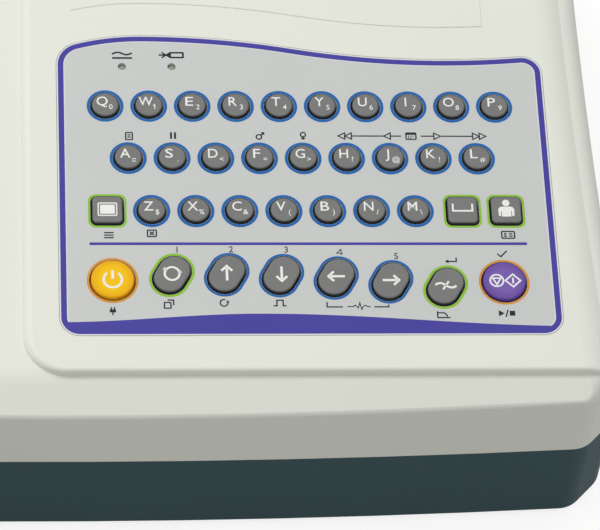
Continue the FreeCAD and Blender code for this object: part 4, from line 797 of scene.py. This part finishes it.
ripple_u = np.linspace(-3.0, 3.0, 32)
ripple = np.column_stack([ripple_u, 0.8 - 0.42 * np.sin(ripple_u * 2 * np.pi / 5.2)])
trace = [
    (-3.4, 0), (-1.6, 0), (-1.1, 0.5), (-0.6, 0), (-0.2, -0.4), (0.3, 1.3), (0.8, -0.9), (1.2, 0),
    (1.9, 0.45), (2.5, 0), (3.4, 0)]
signs = [
    ((5.4, 17.8), [stroke(ripple, 0.55), stroke([(-3.0, -0.8), (3.0, -0.8)], 0.6)]),
    ((20.0, 18.1), [
        stroke(rounded(1.95, 0.85, 0.1, count=24) + (1.8, 0), 0.55, True),
        stroke([(-0.2, 0), (-3.6, 0)], 0.5),
        stroke([(-1.4, 0), (-2.7, 0.95)], 0.45), stroke([(-1.4, 0), (-2.7, -0.95)], 0.45),
        stroke([(-1.3, 0), (-0.2, 0.8)], 0.45), stroke([(-1.3, 0), (-0.2, -0.8)], 0.45)]),
    ((6.9, -10.5), [outline(1.0, 1.25), rule((-0.5, 0.4), (0.5, 0.4)), rule((-0.5, -0.35), (0.5, -0.35))]),
    ((20.0, -10.3), [stroke([(-0.6, -1.15), (-0.6, 1.15)], 0.6), stroke([(0.6, -1.15), (0.6, 1.15)], 0.6)]),
    ((45.9, -10.4), [
        stroke(arc((-0.3, -0.3), 0.8, 0, 360, 25)[:-1], sign_line, True),
        rule((0.25, 0.25), (1.1, 1.1)), rule((0.4, 1.15), (1.15, 1.15), (1.15, 0.4))]),
    ((58.8, -10.3), [
        stroke(arc((0, 0.45), 0.75, 0, 360, 25)[:-1], sign_line, True),
        rule((0, -0.3), (0, -1.3)), rule((-0.6, -0.85), (0.6, -0.85))]),
    ((91.2, -10.3), [
        outline(1.5, 1.1), stroke([(-1.4, 0.75), (1.4, 0.75)], 0.55),
        disc((-0.7, 0.0), 0.2, 12), disc((0, 0.0), 0.2, 12), disc((0.7, 0.0), 0.2, 12),
        disc((-0.7, -0.6), 0.2, 12), disc((0, -0.6), 0.2, 12)]),
    ((0.3, -44.5), [rule((-1.4, level), (1.4, level)) for level in (-0.85, 0.0, 0.85)]),
    ((12.9, -43.9), [outline(1.3, 1.1), rule((-0.6, -0.6), (0.6, 0.6)), rule((-0.6, 0.6), (0.6, -0.6))]),
    ((118.1, -44.4), [
        outline(1.9, 1.15), disc((-0.85, 0.3), 0.35, 16), rule((-1.35, -0.45), (-0.35, -0.45)),
        rule((0.25, 0.35), (1.3, 0.35)), rule((0.25, -0.4), (1.3, -0.4))]),
    ((1.0, -69.8), [
        fill([(-0.9, -0.5), (0.9, -0.5), (0.9, 0.45), (-0.9, 0.45)]), rule((0, -0.5), (0, -1.4)),
        rule((-0.45, 0.4), (-0.45, 1.25)), rule((0.45, 0.4), (0.45, 1.25))]),
    ((17.3, -67.6), [
        stroke(rounded(0.95, 0.95, 0.15, count=24) + (-0.4, -0.4), sign_line, True),
        rule((-0.35, 1.35), (1.35, 1.35), (1.35, -0.35))]),
    ((33.3, -67.2), [
        stroke(arc((0, 0), 1.1, 70, 360, 24), sign_line), fill([(0.55, 0.1), (1.65, 0.1), (1.1, 0.95)])]),
    ((49.6, -67.3), [rule((-1.9, -0.9), (-0.9, -0.9), (-0.9, 0.95), (0.9, 0.95), (0.9, -0.9), (1.9, -0.9))]),
    ((72.6, -68.5), [stroke(trace, 0.28)]),
    ((72.5, -68.6), [
        rule((-9.2, 1.6), (-9.2, 0), (-4.6, 0)), rule((8.8, 0.75), (8.8, 0), (4.6, 0))]),
    ((97.3, -71.2), [
        rule((-1.8, 1.1), (-1.8, -1.0), (1.9, -1.0)),
        stroke(np.vstack([[(-1.6, 0.6)], arc((-0.3, -0.7), 1.3, 90, 0, 12)]), sign_line)]),
    ((115.9, -70.8), [
        fill([(-2.4, -1.0), (-0.7, 0), (-2.4, 1.0)]), rule((-0.35, -1.2), (0.35, 1.2)),
        fill([(0.8, -0.8), (2.4, -0.8), (2.4, 0.8), (0.8, 0.8)])]),
    ((100.6, -52.9), [
        rule((1.5, 0.8), (1.5, -0.5), (-1.2, -0.5)), fill([(-1.9, -0.5), (-0.8, 0.15), (-0.8, -1.15)])]),
    ((115.8, -50.9), [stroke([(-1.4, 0.1), (-0.4, -0.9), (1.5, 1.1)], 0.42)]),
]
function_places = {
    "1": (20.1, -49.4), "2": (35.9, -49.3), "3": (52.1, -49.4), "4": (67.9, -50.2), "5": (84.4, -51.6)}
drawn_four = [
    stroke([(0.35, -1.0), (0.35, 1.0)], 0.27), stroke([(0.3, 0.95), (-0.95, -0.4), (0.9, -0.4)], 0.25)]
sign_shapes = [shape for place, shapes in signs for shape in placed(shapes, place)]
for number, place in function_places.items():
    shapes = drawn_four if number == "4" else [lettering(number, number_height, (0, 0))]
    sign_shapes += placed(shapes, place)
for tip, toward, tail in ((69.3, 1, 88.2), (113.8, -1, 94.2)):
    inner = tip + arrow_inner * toward
    sign_shapes.append(rule((tip + 2 * arrow_step * toward, arrow_level), (inner, arrow_level)))
    sign_shapes.append(rule((inner + arrow_step * toward, arrow_level), (tail, arrow_level)))
    for start in (tip, tip + arrow_step * toward, inner):
        foot = start + arrow_step * toward
        corners = [(start, 0.0), (foot, arrow_half), (foot, -arrow_half)]
        loop = np.array(corners if toward < 0 else corners[::-1]) + (0, arrow_level)
        sign_shapes.append(stroke(loop, arrow_line, True))
print_film("film_signs", sign_shapes, dark_ink)


# Stage: a pale laminate table that the machine stands on, one soft lamp behind on the left, and an
# even white room around it.
floor_half = 3.0
room_level = 0.58
lamp_place = (-0.9, 0.6, 2.1)
lamp_size = 1.0
lamp_power = 25.0
floor_tones = ("A0A09E", "A6A6A4")
floor_glow = 0.8

floor_mesh = bpy.data.meshes.new("floor")
floor_grid = np.array([(-1, -1, 0), (1, -1, 0), (1, 1, 0), (-1, 1, 0)]) * floor_half
floor_mesh.from_pydata(floor_grid.tolist(), [], [(0, 1, 2, 3)])
floor = bpy.data.objects.new("floor", floor_mesh)
bpy.context.collection.objects.link(floor)


def seen_directly(owner):
    """One where the camera, a mirror or a clear piece looks straight at it, nought for its light."""
    path = add_node(owner, "ShaderNodeLightPath")
    mirror = add_node(owner, "ShaderNodeMath", operation="MAXIMUM", inputs={
        0: path.outputs["Is Camera Ray"], 1: path.outputs["Is Glossy Ray"]})
    return add_node(owner, "ShaderNodeMath", operation="MAXIMUM", inputs={
        0: mirror.outputs["Value"], 1: path.outputs["Is Transmission Ray"]}).outputs["Value"]


# Pale table: it glows for the eye so that it is white, and still takes the machine's shadow.
table = bpy.data.materials.new("pale_table_laminate")
table.use_nodes = True
table.node_tree.nodes.clear()
table_place = add_node(table, "ShaderNodeTexCoord").outputs["Object"]
table_noise = add_node(table, "ShaderNodeTexNoise", {"Vector": table_place, "Scale": 1 / (200 * mm)})
table_colour = add_node(table, "ShaderNodeMixRGB", {
    "Fac": table_noise.outputs["Fac"], "Color1": linear(floor_tones[0]), "Color2": linear(floor_tones[1])})
table_matt = add_node(table, "ShaderNodeBsdfDiffuse", {"Color": table_colour.outputs["Color"]})
table_level = add_node(
    table, "ShaderNodeMath", {0: seen_directly(table), 1: floor_glow}, operation="MULTIPLY")
table_glow = add_node(table, "ShaderNodeEmission", {"Strength": table_level.outputs["Value"]})
table_sum = add_node(table, "ShaderNodeAddShader", {
    0: table_matt.outputs["BSDF"], 1: table_glow.outputs["Emission"]})
add_node(table, "ShaderNodeOutputMaterial", {"Surface": table_sum.outputs["Shader"]})
floor_mesh.materials.append(table)

room = bpy.data.worlds.new("even_room")
room.use_nodes = True
room.node_tree.nodes.clear()
room_strength = add_node(room, "ShaderNodeMapRange", {
    "Value": seen_directly(room), "To Min": room_level, "To Max": 1.0})
room_light = add_node(room, "ShaderNodeBackground", {
    "Color": linear("FFFFFF"), "Strength": room_strength.outputs["Result"]})
add_node(room, "ShaderNodeOutputWorld", {"Surface": room_light.outputs["Background"]})
bpy.context.scene.world = room

lamp = bpy.data.lights.new("soft_lamp", "AREA")
lamp.shape = "SQUARE"
lamp.size = lamp_size
lamp.energy = lamp_power
lamp_object = bpy.data.objects.new("soft_lamp", lamp)
lamp_object.location = lamp_place
lamp_object.rotation_euler = Vector(lamp_place).to_track_quat("Z", "Y").to_euler()
bpy.context.collection.objects.link(lamp_object)
bpy.context.scene.view_settings.view_transform = "Standard"


# Camera. It stands in front of the keys, a little to the left, and looks down on the deck with a
# long lens; the angles are measured from the deck.
sensor_width = 36.0
focal_pixels = 3753.15
picture_width = 600
look_place = (55.974, -54.573)
look_distance = 1097.64
look_rise = math.radians(60.057)
look_side = math.radians(-10.083)
look_roll = math.radians(8.730)

backward = np.array([
    math.sin(look_side) * math.cos(look_rise),
    -math.cos(look_side) * math.cos(look_rise),
    math.sin(look_rise),
])
level = np.array([math.cos(look_side), math.sin(look_side), 0.0])
upward = np.cross(backward, level)
across = math.cos(look_roll) * level + math.sin(look_roll) * upward
upright = math.cos(look_roll) * upward - math.sin(look_roll) * level
stand = deck_origin + (np.array([*look_place, 0.0]) + look_distance * backward) * mm @ deck_axes
turned = np.array([across, upright, backward]) @ deck_axes
view = Matrix.Identity(4)
for row in range(3):
    view[row][:3] = turned[:, row]
    view[row][3] = stand[row]
camera = bpy.data.cameras.new("camera")
camera.sensor_width = sensor_width
camera.lens = focal_pixels * sensor_width / picture_width
camera_object = bpy.data.objects.new("camera", camera)
camera_object.matrix_world = view
bpy.context.collection.objects.link(camera_object)
bpy.context.scene.camera = camera_object
